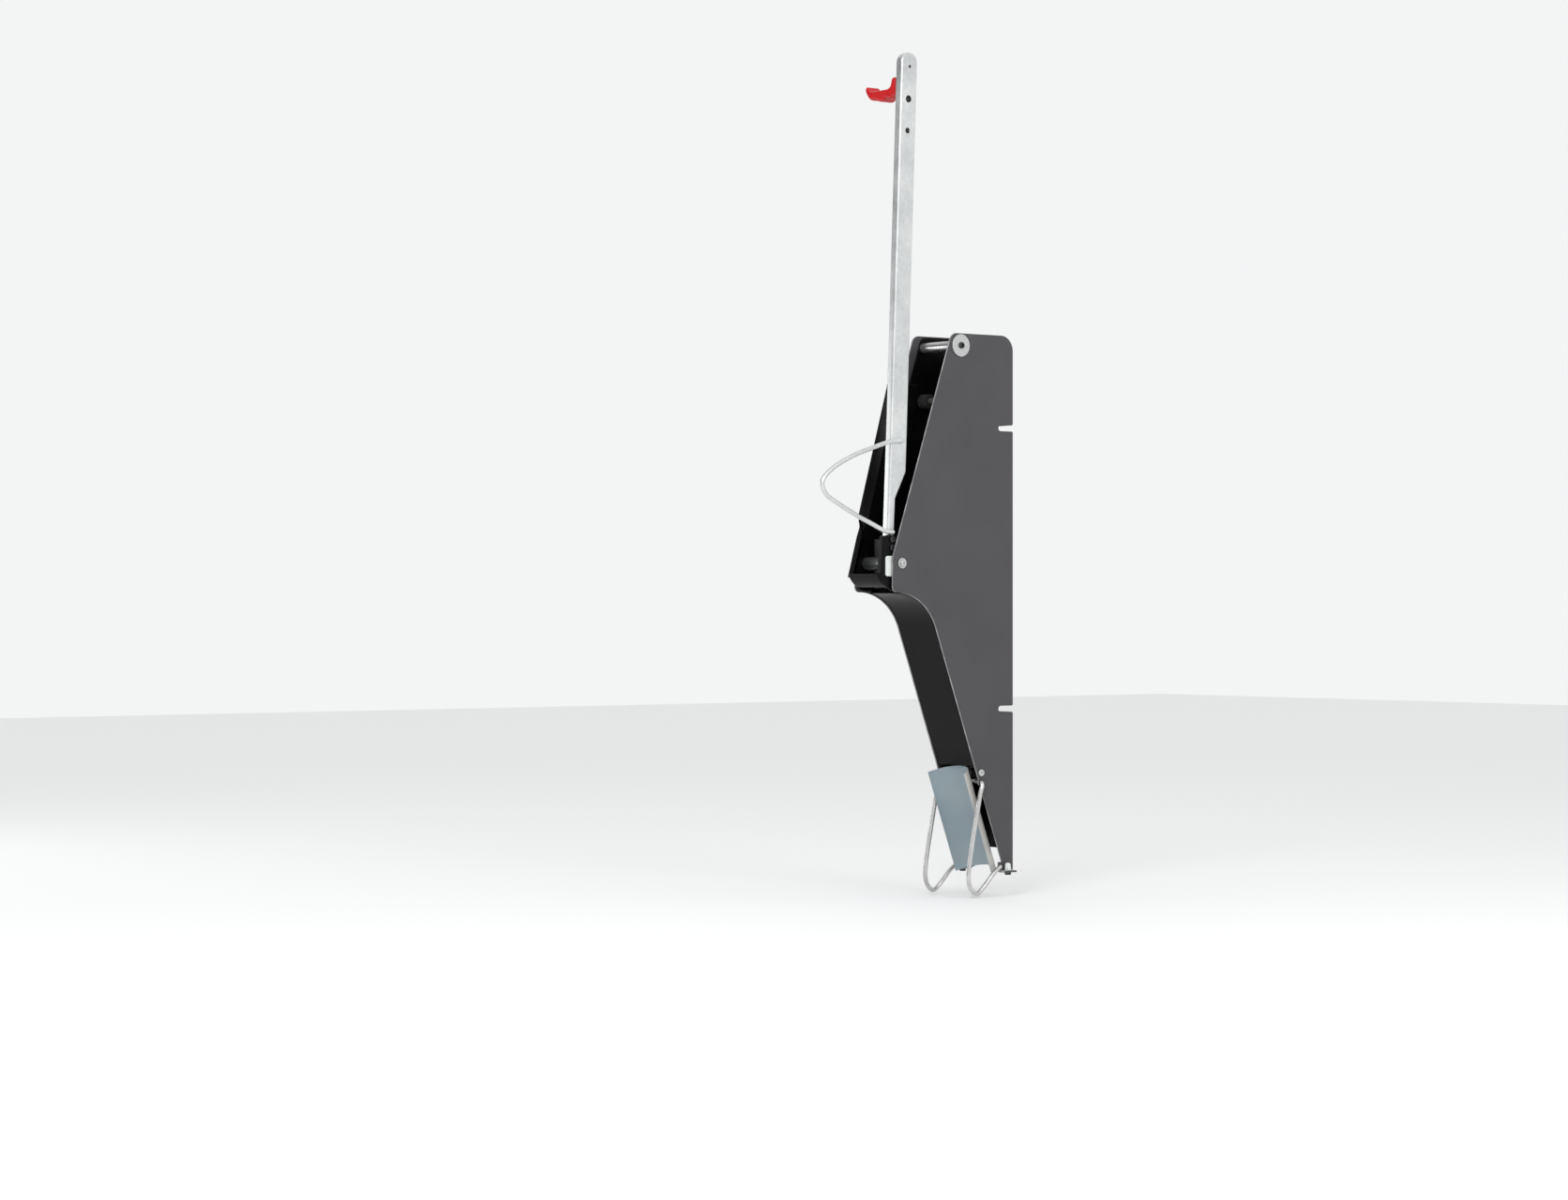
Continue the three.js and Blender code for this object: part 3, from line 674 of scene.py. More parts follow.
def steel_finish(name, base, light, roughness, streak=(1, 1, 1), cloud_scale=40):
    """Bare or plated steel: cloudy tone, fine scratches that run one way, uneven gloss."""
    steel = Finish(name, roughness, 0.92)
    cloud = steel.cloud(cloud_scale, 4)
    scratch = steel.noise(700, 2, steel.stretched(streak))
    cloud_part = steel.maths("MULTIPLY", cloud, 0.7)
    mixed = steel.maths("ADD", cloud_part, steel.maths("MULTIPLY", scratch, 0.3))
    steel.colour(steel.blend(mixed, base, light))
    steel.roughness(steel.spread(mixed, 0.2, 0.8, roughness + 0.08, roughness - 0.06))
    steel.bump(scratch, 0.12, 0.0001)
    return steel.material


bare_steel = steel_finish(
    "bare_steel", (0.46, 0.455, 0.45), (0.68, 0.675, 0.67), 0.27, streak=(1, 1, 0.05)
)


def smooth_path(points, count):
    """A Catmull-Rom curve through the points, count samples, each span a cubic in its own share."""
    points = np.array(points, float)
    ends = np.concatenate([[2 * points[0] - points[1]], points, [2 * points[-1] - points[-2]]])
    place = np.linspace(0, len(points) - 1 - 1e-9, count)
    span = place.astype(int)
    t = (place - span)[:, None]
    a, b, c, d = (ends[span + k] for k in range(4))
    square = 2 * a - 5 * b + 4 * c - d
    cube = 3 * b - 3 * c + d - a
    return 0.5 * (2 * b + (c - a) * t + square * t**2 + cube * t**3)


def round_wire(name, path, radius, sides):
    """Rings of a given radius square to the path, each frame the one before turned as little as
    the path asks, with a rounded cap at both ends."""
    steps = np.diff(path, axis=0)
    along = np.concatenate([steps[:1], steps[:-1] + steps[1:], steps[-1:]])
    along /= np.linalg.norm(along, axis=1)[:, None]
    normal = np.empty_like(along)
    reference = np.array([0.3, 0.9, 0.2])
    for i, tangent in enumerate(along):
        reference = reference - (reference @ tangent) * tangent
        reference /= np.linalg.norm(reference)
        normal[i] = reference
    cap = np.linspace(0, math.pi / 2, 5)[:-1]
    front = path[0] - along[0] * radius * np.cos(cap)[:, None]
    back = path[-1] + along[-1] * radius * np.cos(cap[::-1])[:, None]
    centres = np.concatenate([front, path, back])
    radii = radius * np.concatenate([np.sin(cap), np.ones(len(path)), np.sin(cap[::-1])])
    normal = np.concatenate([normal[:1].repeat(4, 0), normal, normal[-1:].repeat(4, 0)])
    along = np.concatenate([along[:1].repeat(4, 0), along, along[-1:].repeat(4, 0)])
    side = np.cross(along, normal)
    turn = rays(np.linspace(0, 2 * math.pi, sides, endpoint=False))
    ring = turn[:, :1] * normal[:, None] + turn[:, 1:] * side[:, None]
    points = centres[:, None] + radii[:, None, None] * ring
    piece = add_piece(name, points.reshape(-1, 3), grid_faces(len(centres), sides, wrap=True))
    weld(piece)
    even_shading(piece, 60)
    return piece


for sign, side in SIDES:
    y, z = GUIDE_HOLE
    out = sign * GUIDE_PLANE
    route = [
        (sign * 36, y, z + 1), (sign * (PLATE_INNER - 2), y, z + 1),
        (sign * (PLATE_OUTER + 1), y - 0.5, z - 0.5), (out - sign * 0.6, y - 2, z - 6),
        (out, -72, -351), (out, -84, -406), (out, -94.5, -461), (out, -95, -492),
        (out, -80, -507), (out, -61, -493), (out, -46, -478), (out, -31, -467),
    ]
    guide = round_wire("guide_fence_" + side, smooth_path(route, 120), WIRE_RADIUS, 20)
    hand_over(guide, bare_steel, "housing", "guide_wire_" + side)

# ----------------------------------------------------------
# Screws, washers and discs: turned parts on axes along X. Zinc plate is
# bright with a crystalline fleck; black-oxide screws have hex sockets.
zinc = Finish("zinc", 0.3, 0.65)
fleck = zinc.spread(zinc.texture("Voronoi", Scale=900)["Distance"], 0.1, 0.6, 0, 1)
zinc.colour(zinc.blend(fleck, (0.72, 0.73, 0.72), (0.50, 0.51, 0.51)))
zinc.roughness(zinc.cloud(300, 4, 0.2, 0.22, 0.42))
zinc.bump(fleck, 0.25, 0.00015)
zinc_plate = zinc.material
dark_steel = steel_finish(
    "dark_steel", (0.035, 0.035, 0.038), (0.07, 0.07, 0.075), 0.34, cloud_scale=160
)


def turned_part(name, rows, place, sign=1, segments=48, closed=False):
    """Rows of (radius, x, hex) turned about the X axis through place. Where hex is 1 the radius
    follows a hexagon, cos 30 over cos of the angle from the nearest flat's middle."""
    rows = np.array([row if len(row) > 2 else (*row, 0) for row in rows], float)
    angle = np.linspace(0, 2 * math.pi, segments, endpoint=False)
    sixth = math.pi / 3
    flats = math.cos(sixth / 2) / np.cos(angle % sixth - sixth / 2)
    radius = rows[:, :1] * (1 + rows[:, 2:3] * (flats[None] - 1))
    x = np.broadcast_to(sign * rows[:, 1:2], radius.shape)
    y = place[0] + radius * np.cos(angle)
    z = place[1] + radius * np.sin(angle)
    faces = grid_faces(len(rows), segments, wrap=True)
    if closed:
        last = (len(rows) - 1) * segments
        ahead = [(j + 1) % segments for j in range(segments)]
        faces += [[last + j, last + k, k, j] for j, k in enumerate(ahead)]
    piece = add_piece(name, np.stack([x, y, z], -1).reshape(-1, 3), faces)
    weld(piece)
    even_shading(piece)
    return piece


def ring_rows(inner, outer, low, high, soft=0.25):
    """The rows of a washer or tube whose four edges are rounded by a soft quarter turn."""
    corners = [(inner, low, soft), (outer, low, soft), (outer, high, soft), (inner, high, soft)]
    return rounded_outline(corners, 0.5)


def socket_screw(name, place, sign, base, tip, head, height, shank, socket, sunk):
    """A screw from its tip up: chamfered shank, rounded head, and a sunk hex socket."""
    top = base + height
    rows = [
        (0, tip), (shank - 0.5, tip), (shank, tip + 0.5), (shank, base), (head - 0.2, base),
        (head, base + 0.25), (head, base + height * 0.45),
        (head * 0.97, base + height * 0.68), (head * 0.90, base + height * 0.87),
        (head * 0.78, top), (socket * 1.15, top, 1), (socket, top - 0.25, 1),
        (socket, top - sunk, 1), (0, top - sunk),
    ]
    return turned_part(name, rows, place, sign)


tie = turned_part("top_tie_tube", ring_rows(3.3, 8, -41.2, 41.2), TOP_TIE, closed=True)
hand_over(tie, bare_steel, "housing", "top_spacer")
for sign, side in SIDES:
    disc = turned_part(
        "top_plate_disc_" + side, ring_rows(3.4, 17.4, 47.3, 49.5, 0.6), TOP_TIE, sign, 72, True
    )
    hand_over(disc, zinc_plate, "housing", "top_disc_" + side)
    screw = socket_screw("top_tie_screw_" + side, TOP_TIE, sign, 49.8, 30, 5, 2.9, 3, 2.4, 2)
    hand_over(screw, dark_steel, "housing", "top_screw_" + side)
    washer = turned_part(
        "axle_washer_" + side, ring_rows(2.8, 8, 47.3, 48.6, 0.4), PIVOT, sign, 56, True
    )
    hand_over(washer, zinc_plate, "housing", "pivot_washer_" + side)
    screw = socket_screw("axle_screw_" + side, PIVOT, sign, 48.9, 34, 5, 3, 2.5, 2.2, 1.8)
    hand_over(screw, zinc_plate, "housing", "pivot_screw_" + side)
    screw = socket_screw("cover_screw_" + side, LOWER_SCREW, sign, 47.3, 35, 5.5, 3.2, 3, 2.5, 2)
    hand_over(screw, zinc_plate, "housing", "lower_screw_" + side)

# ----------------------------------------------------------
# Pivot axle, its nylon thrust washers, the anchor pin and the rubber-sleeved
# stop bar: plain turned bars held between the channel walls or the plates.


def cloudy(name, roughness, base, light, cloud, grain, **even):
    """A plain material: its tone drifts from base to light in clouds, over a fine grain, which is
    a noise scale and detail and a bump strength and distance."""
    made = Finish(name, roughness, **even)
    made.colour(made.blend(made.cloud(*cloud), base, light))
    made.bump(made.noise(*grain[:2]), *grain[2:])
    return made


nylon = cloudy(
    "nylon", 0.42, (0.74, 0.72, 0.67), (0.82, 0.81, 0.78), (120, 3, 0.2),
    (900, 2, 0.15, 0.0001), Subsurface_Weight=0.15, IOR=1.53,
).material
rubber = cloudy(
    "rubber", 0.75, (0.012, 0.012, 0.012), (0.028, 0.028, 0.028), (200, 4, 0.2),
    (1200, 3, 0.3, 0.0002),
).material


def bar_rows(radius, low, high, soft=0.8):
    """The rows of a plain bar with a chamfer at each end."""
    low_end = [(0, low), (radius - soft, low), (radius, low + soft)]
    return low_end + [(radius, high - soft), (radius - soft, high), (0, high)]


for name, radius, half, place, node in (
    ("axle_bar", 6, 46.7, PIVOT, "pivot_axle"),
    ("anchor_pin", 5, 43.5, anchor_place, "spring_anchor"),
    ("stop_rod", 5, 43.5, STOP, "stop_bar"),
):
    bar = turned_part(name, bar_rows(radius, -half, half), place)
    hand_over(bar, bare_steel, "housing", node)
sleeve = turned_part("buffer_sleeve", ring_rows(5.2, 11, -41, -22, 1.5), STOP, closed=True)
hand_over(sleeve, rubber, "housing", "stop_buffer")
for sign, side in SIDES:
    washer = turned_part(
        "thrust_ring_" + side, ring_rows(6.3, 11, 40.8, 43.7, 0.4), PIVOT, sign, closed=True
    )
    hand_over(washer, nylon, "housing", "thrust_washer_" + side)

# ----------------------------------------------------------
# Foot bolts: a black hex bolt up through each foot flange, and a white nylon
# cap nut with a domed end on top of the flange.
FOOT_MIDDLE = -17
FOOT_OUT = 54


def upright(piece, x):
    """Turns a part made about the X axis so that its X runs up at (x, foot middle)."""
    along, y, z = vertex_places(piece.data).T
    placed = np.stack([x * MM - z, y + FOOT_MIDDLE * MM, along], 1)
    piece.data.vertices.foreach_set("co", placed.ravel())
    piece.data.update()
    return piece


for sign, side in SIDES:
    x = sign * FOOT_OUT
    bolt_rows = [
        (0, -479.8), (4.6, -479.8, 0), (5.5, -479.3, 1), (5.5, -476.3, 1), (3, -476.3),
        (3, -465), (2.5, -464.6), (0, -464.6),
    ]
    bolt = upright(turned_part("flange_bolt_" + side, bolt_rows, (0, 0)), x)
    hand_over(bolt, dark_steel, "housing", "foot_bolt_" + side)
    nut_rows = [
        (3.3, -472.7), (4.6, -472.7), (5.2, -472.3, 1), (5.2, -467.5, 1),
        (4.7, -466.9, 0.3), (4.6, -464.5), (4.0, -462.6), (2.6, -461.4), (0, -461),
        (0, -464.2), (3.3, -464.3),
    ]
    nut = upright(turned_part("cap_nut_" + side, nut_rows, (0, 0), closed=True), x)
    hand_over(nut, nylon, "housing", "foot_nut_" + side)

# ----------------------------------------------------------
# Springs: two extension springs of 2.8 mm wire. Each hooks round the anchor pin
# at the bottom and through a hole in the yoke at the top, and stretches.
SPRING_AT = 18
COIL_RADIUS = 10.9
SPRING_WIRE = 1.4
COILS = 38
COIL_FOOT = -371
COIL_HEAD = -211
YOKE_TOP = -183
YOKE_BOTTOM = -195
YOKE_HOLE = -190.4


def lay_along_pull(piece):
    """Moves a piece drawn with Z up the pull line, from the drum's tangent point, into place."""
    turn = Matrix.Rotation(PULL_ANGLE, 4, "X")
    piece.data.transform(Matrix.Translation((0, pull_start[0] * MM, pull_start[1] * MM)) @ turn)
    return piece


def spring_path(x):
    """Up the spring's axis: the lower hook round the pin, the coils of a helix, the upper hook."""
    angle = np.linspace(0, 2 * math.pi * COILS, COILS * 18)
    y, sideways = COIL_RADIUS * rays(angle).T
    coil = np.stack([x + sideways, y, np.linspace(COIL_FOOT, COIL_HEAD, len(angle))], 1)
    pin, hole = -ANCHOR_AT, YOKE_HOLE
    lower = [(x, -6.2, pin + 6), (x, -7, pin), (x, 0, pin - 7), (x, 7, pin), (x, 7, pin + 8)]
    lower.append((x - 2, 9.5, pin + 16))
    upper = [(x + 2, 9.5, -208), (x, 7.4, -200), (x, 7.2, hole - 3), (x, 3.5, hole)]
    upper += [(x, -3.5, hole), (x, -7.2, hole - 3), (x, -7, -199)]
    return np.concatenate([smooth_path(lower, 28), coil, smooth_path(upper, 32)])


for sign, side in SIDES:
    spring = lay_along_pull(
        round_wire("coil_spring_" + side, spring_path(sign * SPRING_AT), SPRING_WIRE, 9)
    )
    hand_over(spring, bare_steel, None, "spring_" + side)
    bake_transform(spring)

# ----------------------------------------------------------
# Spring yoke: a zinc-plated flat bar, hung on the strap, with a drilled hole
# for each spring's hook, so that it pulls on both springs at once.
yoke_corners = [
    (-32, YOKE_BOTTOM, 4), (32, YOKE_BOTTOM, 4), (32, YOKE_TOP, 3), (-32, YOKE_TOP, 3),
]
yoke_loops = [rounded_outline(yoke_corners)]
yoke_loops += [circle((sign * SPRING_AT, YOKE_HOLE), 2.6) for sign, side in SIDES]
yoke = lay_along_pull(cut_sheet("yoke_bar", yoke_loops, -5, 5, 0.8, across="y"))
hand_over(yoke, zinc_plate, "yoke", "spring_yoke")

# ----------------------------------------------------------
# Pull strap: 21 mm woven polyester webbing, wound on the drum and running
# straight down to the yoke.
STRAP_HALF = 10.5
LEVER_TRAVEL = math.radians(100)
STRAP_START = 12.8
STRAP_END = 182.5
web_finish = Finish("webbing", 0.85, Sheen_Weight=0.3)
warp, weft = (
    web_finish.texture("Wave", bands_direction=along, Scale=240, Distortion=0.4)["Fac"]
    for along in "ZX"
)
weave = web_finish.maths("MULTIPLY", warp, weft)
web_finish.colour(web_finish.blend(weave, (0.010, 0.010, 0.012), (0.035, 0.035, 0.04)))
web_finish.bump(weave, 0.6, 0.0004)
webbing = web_finish.material

strap_profile = rounded_outline(
    [(-STRAP_HALF, 0, 0.6), (STRAP_HALF, 0, 0.6), (STRAP_HALF, 2, 0.6), (-STRAP_HALF, 2, 0.6)], 0.5
)
steps = np.linspace(STRAP_START, STRAP_END, 60)[:, None]
strap_line = pull_start - pull_out + steps * pull_along
strap = carry("straight_strap", strap_profile, strap_line, np.repeat(pull_out[None], 60, 0))
even_shading(strap)
hand_over(strap, webbing, "housing", "pull_strap")
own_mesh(strap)
ray = rays(np.linspace(PULL_ANGLE - LEVER_TRAVEL, math.radians(96), 60))
wound = carry("wound_strap", strap_profile, np.array(PIVOT) + (PULL_RADIUS - 1) * ray, ray)
even_shading(wound)
hand_over(wound, webbing, "lever", "strap_wrap")

# ----------------------------------------------------------
# Strap drum and pivot tube: a moulded nylon half drum with two cheeks, and
# the steel tube that the lever turns on.
DRUM_RADIUS = 34
DRUM_HALF = 10.8
CHEEK_RADIUS = 38
CHEEK_HALF = 12.8
DRUM_BORE = 10.3
TUBE_HALF = 37.7


def carve(piece, cutters):
    """The piece with the cutters' solids taken out of it; the cutters are used up."""
    for cutter in cutters:
        cut = piece.modifiers.new("cut", "BOOLEAN")
        cut.operation = "DIFFERENCE"
        cut.solver = "EXACT"
        cut.object = cutter
    even = piece.modifiers.get("even_normals")
    if even:
        piece.modifiers.remove(even)
    depsgraph = bpy.context.evaluated_depsgraph_get()
    mesh = bpy.data.meshes.new_from_object(piece.evaluated_get(depsgraph))
    piece.modifiers.clear()
    piece.data = mesh
    for cutter in cutters:
        bpy.data.objects.remove(cutter)
    weld(piece)
    even_shading(piece)
    return piece


drum_rows = rounded_outline(
    [
        (DRUM_BORE, -CHEEK_HALF, 0.5), (CHEEK_RADIUS, -CHEEK_HALF, 0.7),
        (CHEEK_RADIUS, -DRUM_HALF, 0.7), (DRUM_RADIUS, -DRUM_HALF, 0.3),
        (DRUM_RADIUS, DRUM_HALF, 0.3), (CHEEK_RADIUS, DRUM_HALF, 0.7),
        (CHEEK_RADIUS, CHEEK_HALF, 0.7), (DRUM_BORE, CHEEK_HALF, 0.5),
    ],
    0.5,
)
drum = turned_part("half_drum", drum_rows, PIVOT, 1, 96, True)
front_half = cut_sheet(
    "front_half", [np.array([(-300, -90), (-232, -90), (-232, 90), (-300, 90)])], -20, 20, 0.1
)
dark_nylon = powder_coat("dark_nylon", (0.012, 0.012, 0.013), (0.02, 0.02, 0.021), 0.5, 700)
hand_over(carve(drum, [front_half]), dark_nylon, "lever", "strap_drum", slot="nylon")
tube_rows = ring_rows(PIVOT_HOLE, 10, -TUBE_HALF, TUBE_HALF, 0.6)
tube = turned_part("hinge_tube", tube_rows, PIVOT, 1, 56, True)
# The tube's steel is darker than the bare steel of the other bars: painted shade, for the tube sits
# in shadow inside the housing.
shaded_tube_steel = steel_finish(
    "shaded_tube_steel", (0.26, 0.265, 0.27), (0.40, 0.405, 0.41), 0.36, streak=(0.05, 1, 1)
)
hand_over(tube, shaded_tube_steel, "lever", "pivot_tube", slot="bare_steel")

# ----------------------------------------------------------
# Cradle: black-coated 2.5 mm sheet. A tall left wall with a flared lip and a
# low right wall stand up from a tub that rolls under the pivot.
CRADLE_OUTER = 40.5
CRADLE_INNER = 38
LIP_FOOT = np.array([-263, -10])
LIP_LENGTH = 310
WALL_FOOT = NOSE_UNDERSIDE + 1
WALL_HOLE = 3.3
TUB_RADIUS = 43
TUB_ARC = (203, 240)
lip_up = np.array([-178, 290]) - LIP_FOOT
lip_up = lip_up / np.linalg.norm(lip_up)
lip_behind = np.array([lip_up[1], -lip_up[0]])
lip_root = LIP_FOOT + 92 * lip_up + 13 * lip_behind
tall_corners = [
    (-165.5, 288, 4), (*lip_root, 6), (*(LIP_FOOT + 62 * lip_up + 3 * lip_behind), 6),
    (-266, WALL_FOOT, 30), (-188, WALL_FOOT, 36), (-190, 20, 20), (-118, 288, 8),
]
low_corners = [
    (-257, 50, 6), (-266, WALL_FOOT, 30), (-188, WALL_FOOT, 36), (-196, 50, 12),
]
ARM_BOLTS = ((-241.5, 31), (-241, 43.5))
tall_loops = [rounded_outline(tall_corners), circle(PIVOT, PIVOT_HOLE)]
tall = cut_sheet("tall_wall", tall_loops, -CRADLE_OUTER, -CRADLE_INNER, 1)
low_loops = [rounded_outline(low_corners), circle(PIVOT, PIVOT_HOLE)]
low_loops += [circle(place, WALL_HOLE, 24) for place in ARM_BOLTS]
low_wall = cut_sheet("low_wall", low_loops, CRADLE_INNER, CRADLE_OUTER, 1)

outside = CRADLE_OUTER + 0.15
tub_profile = rounded_outline(
    [
        (-outside, 0, 8), (outside, 0, 8), (outside, 13, 0.8), (outside - 2.5, 13, 0.8),
        (outside - 2.5, 2.5, 5.5), (2.5 - outside, 2.5, 5.5), (2.5 - outside, 13, 0.8),
        (-outside, 13, 0.8),
    ],
    0.2,
)
# The tub's two ends bend 0.9 mm in towards the pivot over their last three degrees.
angles = np.radians(np.linspace(*TUB_ARC, 30))
ray = rays(angles)
ends = np.clip(np.minimum(angles - angles[0], angles[-1] - angles) / math.radians(3), 0, 1)
roll = 0.9 * (1 - np.sqrt(1 - (1 - ends) ** 2))
tub = carry("tub", tub_profile, np.array(PIVOT) + TUB_RADIUS * ray, -ray, -roll)


def soft_profile(corners, radii, count=5):
    """Rounds each corner of closed profiles, an (..., k, 2) array, by a quadratic bend that starts
    and ends a radius away from the corner."""
    back = np.roll(corners, 1, -2) - corners
    ahead = np.roll(corners, -1, -2) - corners
    reach = np.array(radii)[:, None]
    back = back / np.linalg.norm(back, axis=-1, keepdims=True) * reach
    ahead = ahead / np.linalg.norm(ahead, axis=-1, keepdims=True) * reach
    t = np.linspace(0, 1, count)[:, None]
    bend = corners[..., None, :] + (1 - t) ** 2 * back[..., None, :] + t**2 * ahead[..., None, :]
    return bend.reshape(*corners.shape[:-2], -1, 2)


# The far front band: folded inward by the tub, it turns up into the flared lip.
folded = np.array([(-38, 13.5), (-40.6, 13.5), (-40.6, 0), (-29, 0), (-29, 2.4), (-38, 2.4)])
flared = np.array([(-38, 13.5), (-40.5, 13.5), (-43.9, 6.4), (-47, 0), (-44.6, -0.6), (-41.6, 5.8)])
rise = np.linspace(-4, LIP_LENGTH, 110)
share = np.clip((rise - 58) / 40, 0, 1)
share = (share**2 * (3 - 2 * share))[:, None, None]
band_profiles = soft_profile(folded * (1 - share) + flared * share, (1, 1, 2.4, 1, 1, 0.8))
lip_path = LIP_FOOT + rise[:, None] * lip_up
lip = carry("lip", band_profiles, lip_path, np.repeat(lip_behind[None], len(rise), 0))

# The near front band: folded inward all the way up the low wall.
near_folded = np.array([(38.1, 11), (38.1, 2.4), (30, 2.4), (30, 0), (40.6, 0), (40.6, 11)])
near_foot = np.array([-263.5, -13])
near_up = np.array([-257.6, 49]) - near_foot
near_length = np.linalg.norm(near_up)
near_up = near_up / near_length
near_behind = np.array([near_up[1], -near_up[0]])
near_path = near_foot + np.linspace(0, near_length, 30)[:, None] * near_up
near_profile = soft_profile(near_folded, (0.8, 0.8, 1, 1, 2.6, 1))
near_band = carry("near_band", near_profile, near_path, np.repeat(near_behind[None], 30, 0))
hand_over(join("tyre_cradle", [tall, low_wall, tub, lip, near_band]), black_coat, "lever", "cradle")

# ----------------------------------------------------------
# Arm: galvanised rectangular tube with rounded corners, its lower end cut to
# a neck and bolted to the low wall, its round-topped upper end drilled.
dip = Finish("galvanised", 0.32, 0.85)
crystal = dip.node("SeparateColor")
dip.link(dip.texture("Voronoi", Scale=190)["Color"], crystal.inputs[0])
spangle = dip.maths("MULTIPLY", crystal.outputs[0], 0.35)
drift = dip.maths("MULTIPLY", dip.cloud(14, 5), 0.65)
patch = dip.maths("ADD", spangle, drift)
dip.colour(dip.blend(patch, (0.58, 0.595, 0.595), (0.76, 0.775, 0.77)))
dip.roughness(dip.spread(patch, 0, 1, 0.28, 0.42))
dip.bump(dip.noise(260, 3), 0.1, 0.0002)
galvanised = dip.material

ARM_OUTER = 37.7
ARM_INNER = 23.7
ARM_WALL = 1.6
ARM_TOP = 794
ARM_FOOT = 20
ARM_HOLES = ((-203.5, 772, 2.5), (-206, 722, 5.5), (-208, 673, 4.5))


def drill(radius, low, high, place):
    return turned_part("drill", [(0, low), (radius, low), (radius, high), (0, high)], place)


def arm_loop(inset):
    """The arm's outline (Y, Z) from the side, drawn in by inset for the bore."""
    top = ARM_TOP - inset
    rounding = 16 - inset - 0.01
    return rounded_outline(
        [
            (-187 - inset, top, rounding), (-219 + inset, top, rounding),
            (-240 + inset, 224, 200), (-249 + inset, ARM_FOOT + inset),
            (-235 - inset, ARM_FOOT + inset), (-232 - inset, 106, 12),
            (-210.5 - inset, 147, 12),
        ]
    )


arm = cut_sheet("lever_arm", [arm_loop(0)], ARM_INNER, ARM_OUTER, 2.6)
bore = cut_sheet("bore", [arm_loop(ARM_WALL)], ARM_INNER + ARM_WALL, ARM_OUTER - ARM_WALL, 1.4)
bore.data.flip_normals()
arm = join("lever_arm", [arm, bore])
drills = [drill(radius, 20, 41, (y, z)) for y, z, radius in ARM_HOLES]
drills += [drill(WALL_HOLE, 20, 41, place) for place in ARM_BOLTS]
hand_over(carve(arm, drills), galvanised, "lever", "arm_tube")
for name, place in zip(("lower", "upper"), ARM_BOLTS):
    bolt = socket_screw("neck_bolt_" + name, place, 1, 40.8, 20, 5, 2.6, 3, 2.4, 1.6)
    hand_over(bolt, dark_steel, "lever", "arm_bolt_" + name)
pad_corners = [(-255.5, -13, 4), (-240.5, -13, 4), (-240.5, 18, 4), (-255.5, 18, 4)]
pad = cut_sheet("glide_pad", [rounded_outline(pad_corners)], 40.8, 42.8, 0.7)
hand_over(pad, nylon, "lever", "cradle_side_pad")

# ----------------------------------------------------------
# Side loop: 7 mm wire bent to a rounded triangle and welded to the arm's
# outer face at both ends.
LOOP_PLANE = ARM_OUTER + 0.3 + WIRE_RADIUS
loop_route = [
    (-222, 195.5), (-245, 193.5), (-284, 182), (-316, 171.5), (-353, 154), (-375, 137),
    (-379, 123), (-370, 109), (-349, 97), (-316, 81), (-285, 68), (-258, 57), (-241, 55),
]
loop_path = smooth_path([(LOOP_PLANE, y, z) for y, z in loop_route], 140)
loop_shells = [round_wire("loop", loop_path, WIRE_RADIUS, 20)]
bead_rows = [(0, 37.4), (5.4, 37.4), (5.2, 38.3), (4.3, 39.8), (3, 41), (1.5, 41.8), (0, 42)]
for y, z in ((-224, 195.4), (-231.5, 194.9), (-243.5, 55.2)):
    loop_shells.append(turned_part("bead", bead_rows, (y, z)))
hand_over(join("wire_loop", loop_shells), galvanised, "lever", "side_loop")

# ----------------------------------------------------------
# Rim hook: moulded red plastic on a zinc-plated steel angle. Three lobes
# below, a low lip at the free end and a raised horn beside the arm.
HOOK_NEAR = 20.6
HOOK_FAR = -52
HOOK_SEAT = 741
HOOK_HORN = 757
HOOK_LIP = 748
red = cloudy(
    "red_plastic", 0.34, (0.50, 0.004, 0.007), (0.60, 0.007, 0.010), (30, 4),
    (700, 2, 0.06, 0.0001), IOR=1.5, Specular_IOR_Level=0.4,
)
red.roughness(red.cloud(90, 4, 0.2, 0.26, 0.4))
red_plastic = red.material


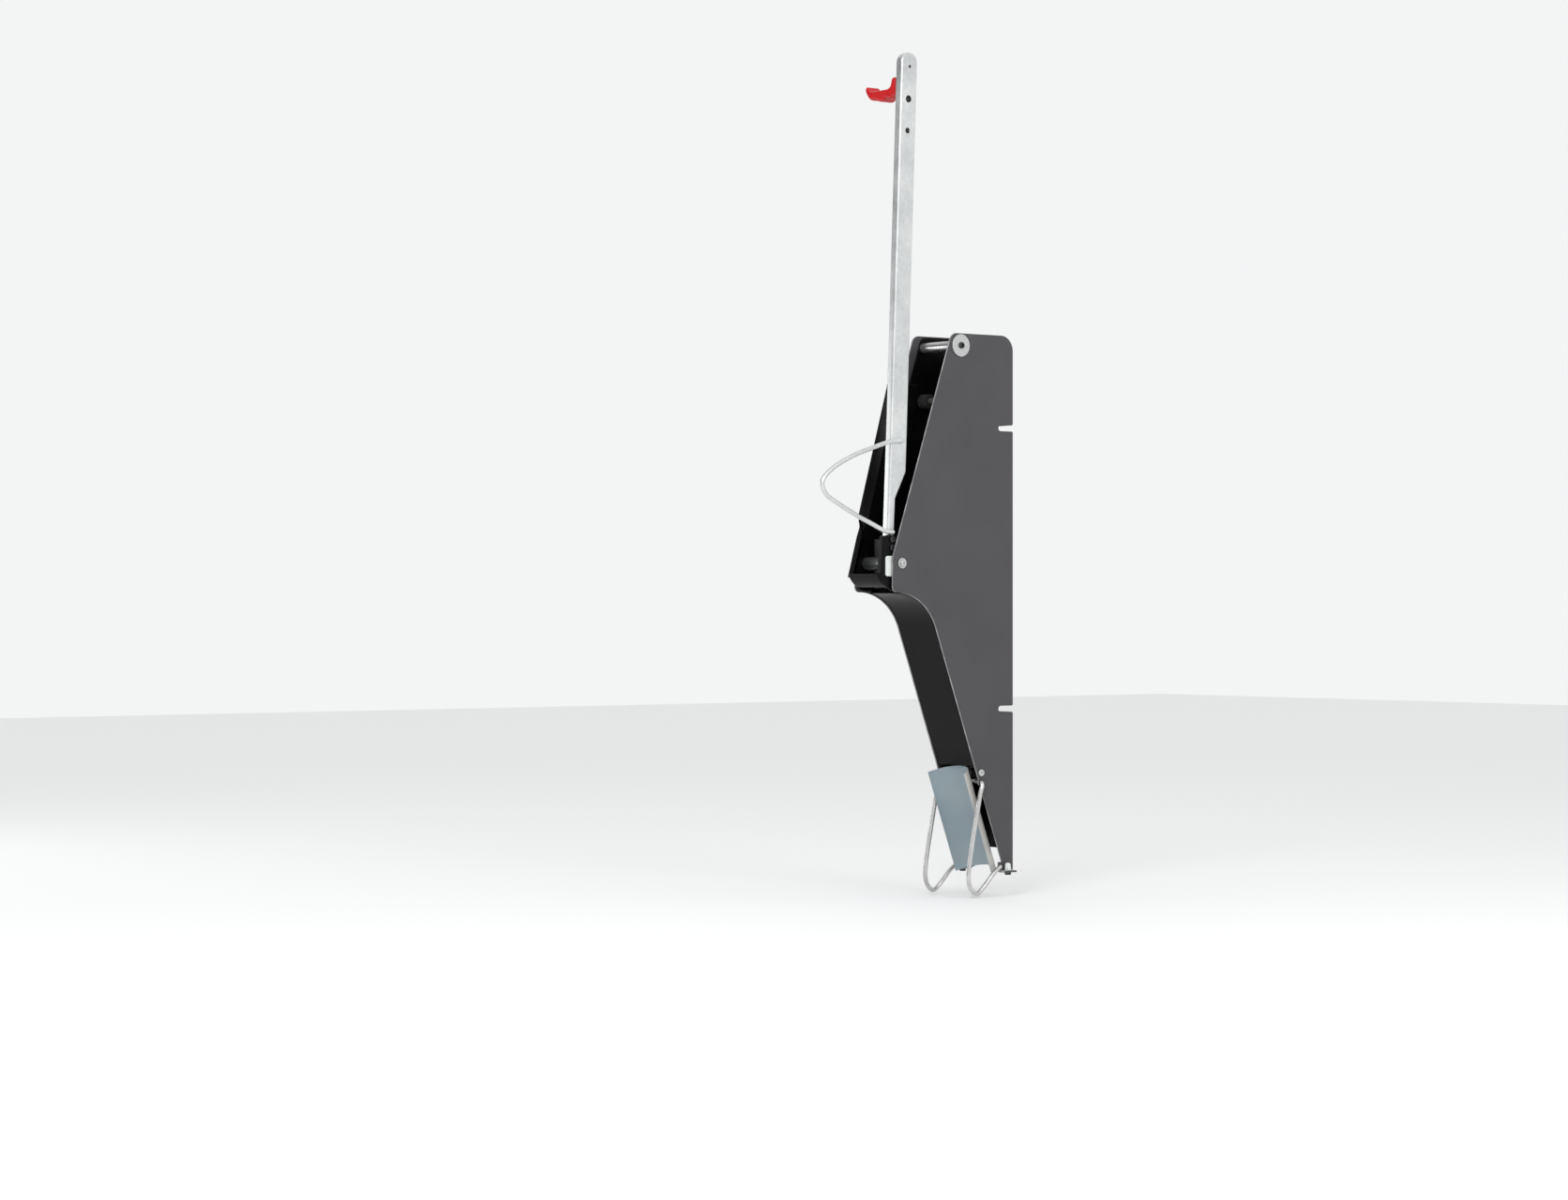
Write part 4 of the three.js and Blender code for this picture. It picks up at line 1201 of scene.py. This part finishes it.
def hook_outline():
    """The hook seen from the front: straight runs and quadratic bends, evened out by averaging."""
    near, far, seat = HOOK_NEAR, HOOK_FAR, HOOK_SEAT
    root = seat - 13
    spans = [
        [(near, root), (near, HOOK_HORN - 4)],
        [(near, HOOK_HORN - 4), (near - 1, HOOK_HORN), (near - 5, HOOK_HORN)],
        [(near - 5, HOOK_HORN), (near - 10, HOOK_HORN - 1), (near - 11, seat + 7)],
        [(near - 11, seat + 7), (near - 13, seat), (near - 22, seat - 1)],
        [(near - 22, seat - 1), (far + 14, seat - 1)],
        [(far + 14, seat - 1), (far + 7, seat), (far + 5, HOOK_LIP)],
        [(far + 5, HOOK_LIP), (far - 1, HOOK_LIP + 1), (far, seat)],
    ]
    valleys = (far, -28, -3, near - 8)
    start = (far, seat)
    for low, high, depth in zip(valleys, valleys[1:], (-21, -25, -21)):
        spans.append([start, ((low + high) / 2, seat + depth), (high, root)])
        start = (high, root)
    spans.append([start, (near, root)])
    loop = []
    for span in spans:
        span = np.array(span, float)
        length = np.linalg.norm(np.diff(span, axis=0), axis=1).sum()
        t = np.linspace(0, 1, max(3, int(length / 0.8)), endpoint=False)[:, None]
        if len(span) == 2:
            loop.append(span[0] * (1 - t) + span[1] * t)
        else:
            loop.append(span[0] * (1 - t) ** 2 + 2 * span[1] * t * (1 - t) + span[2] * t * t)
    loop = np.concatenate(loop)
    for _ in range(6):
        loop = (np.roll(loop, 1, 0) + 2 * loop + np.roll(loop, -1, 0)) / 4
    return loop


hook = cut_sheet("hook_moulding", [hook_outline()], -219, -193, 2.8, across="y")
slot_corners = np.array([(-46, 730.2), (24, 730.2), (24, 733.8), (-46, 733.8)])
tongue_slot = cut_sheet("tongue_slot", [slot_corners], -214.5, -197.5, 0.1, across="y")
hand_over(carve(hook, [tongue_slot]), red_plastic, "lever", "rim_hook")
leg_corners = [(-214, 712, 3), (-198, 712, 3), (-198, 781, 3), (-214, 781, 3)]
leg_loops = [rounded_outline(leg_corners)] + [circle(hole[:2], 2.8) for hole in ARM_HOLES[:2]]
leg = cut_sheet("leg", leg_loops, 21, 23.4, 0.4)
tongue_corners = [(-44, 730.6), (21.4, 730.6), (21.4, 733.4), (-44, 733.4)]
tongue = cut_sheet("tongue", [np.array(tongue_corners)], -214, -198, 0.3, across="y")
hand_over(join("hook_angle", [leg, tongue]), zinc_plate, "lever", "hook_bracket")
for name, hole, shank, head in (
    ("upper", ARM_HOLES[0], 2.1, 4),
    ("lower", ARM_HOLES[1], 2.5, 4.6),
):
    screw = socket_screw(
        "angle_screw_" + name, hole[:2], -1, -20.7, -36.7, head, 3.2, shank, 2, 1.6
    )
    hand_over(screw, dark_steel, "lever", "hook_screw_" + name)

bpy.context.view_layer.update()
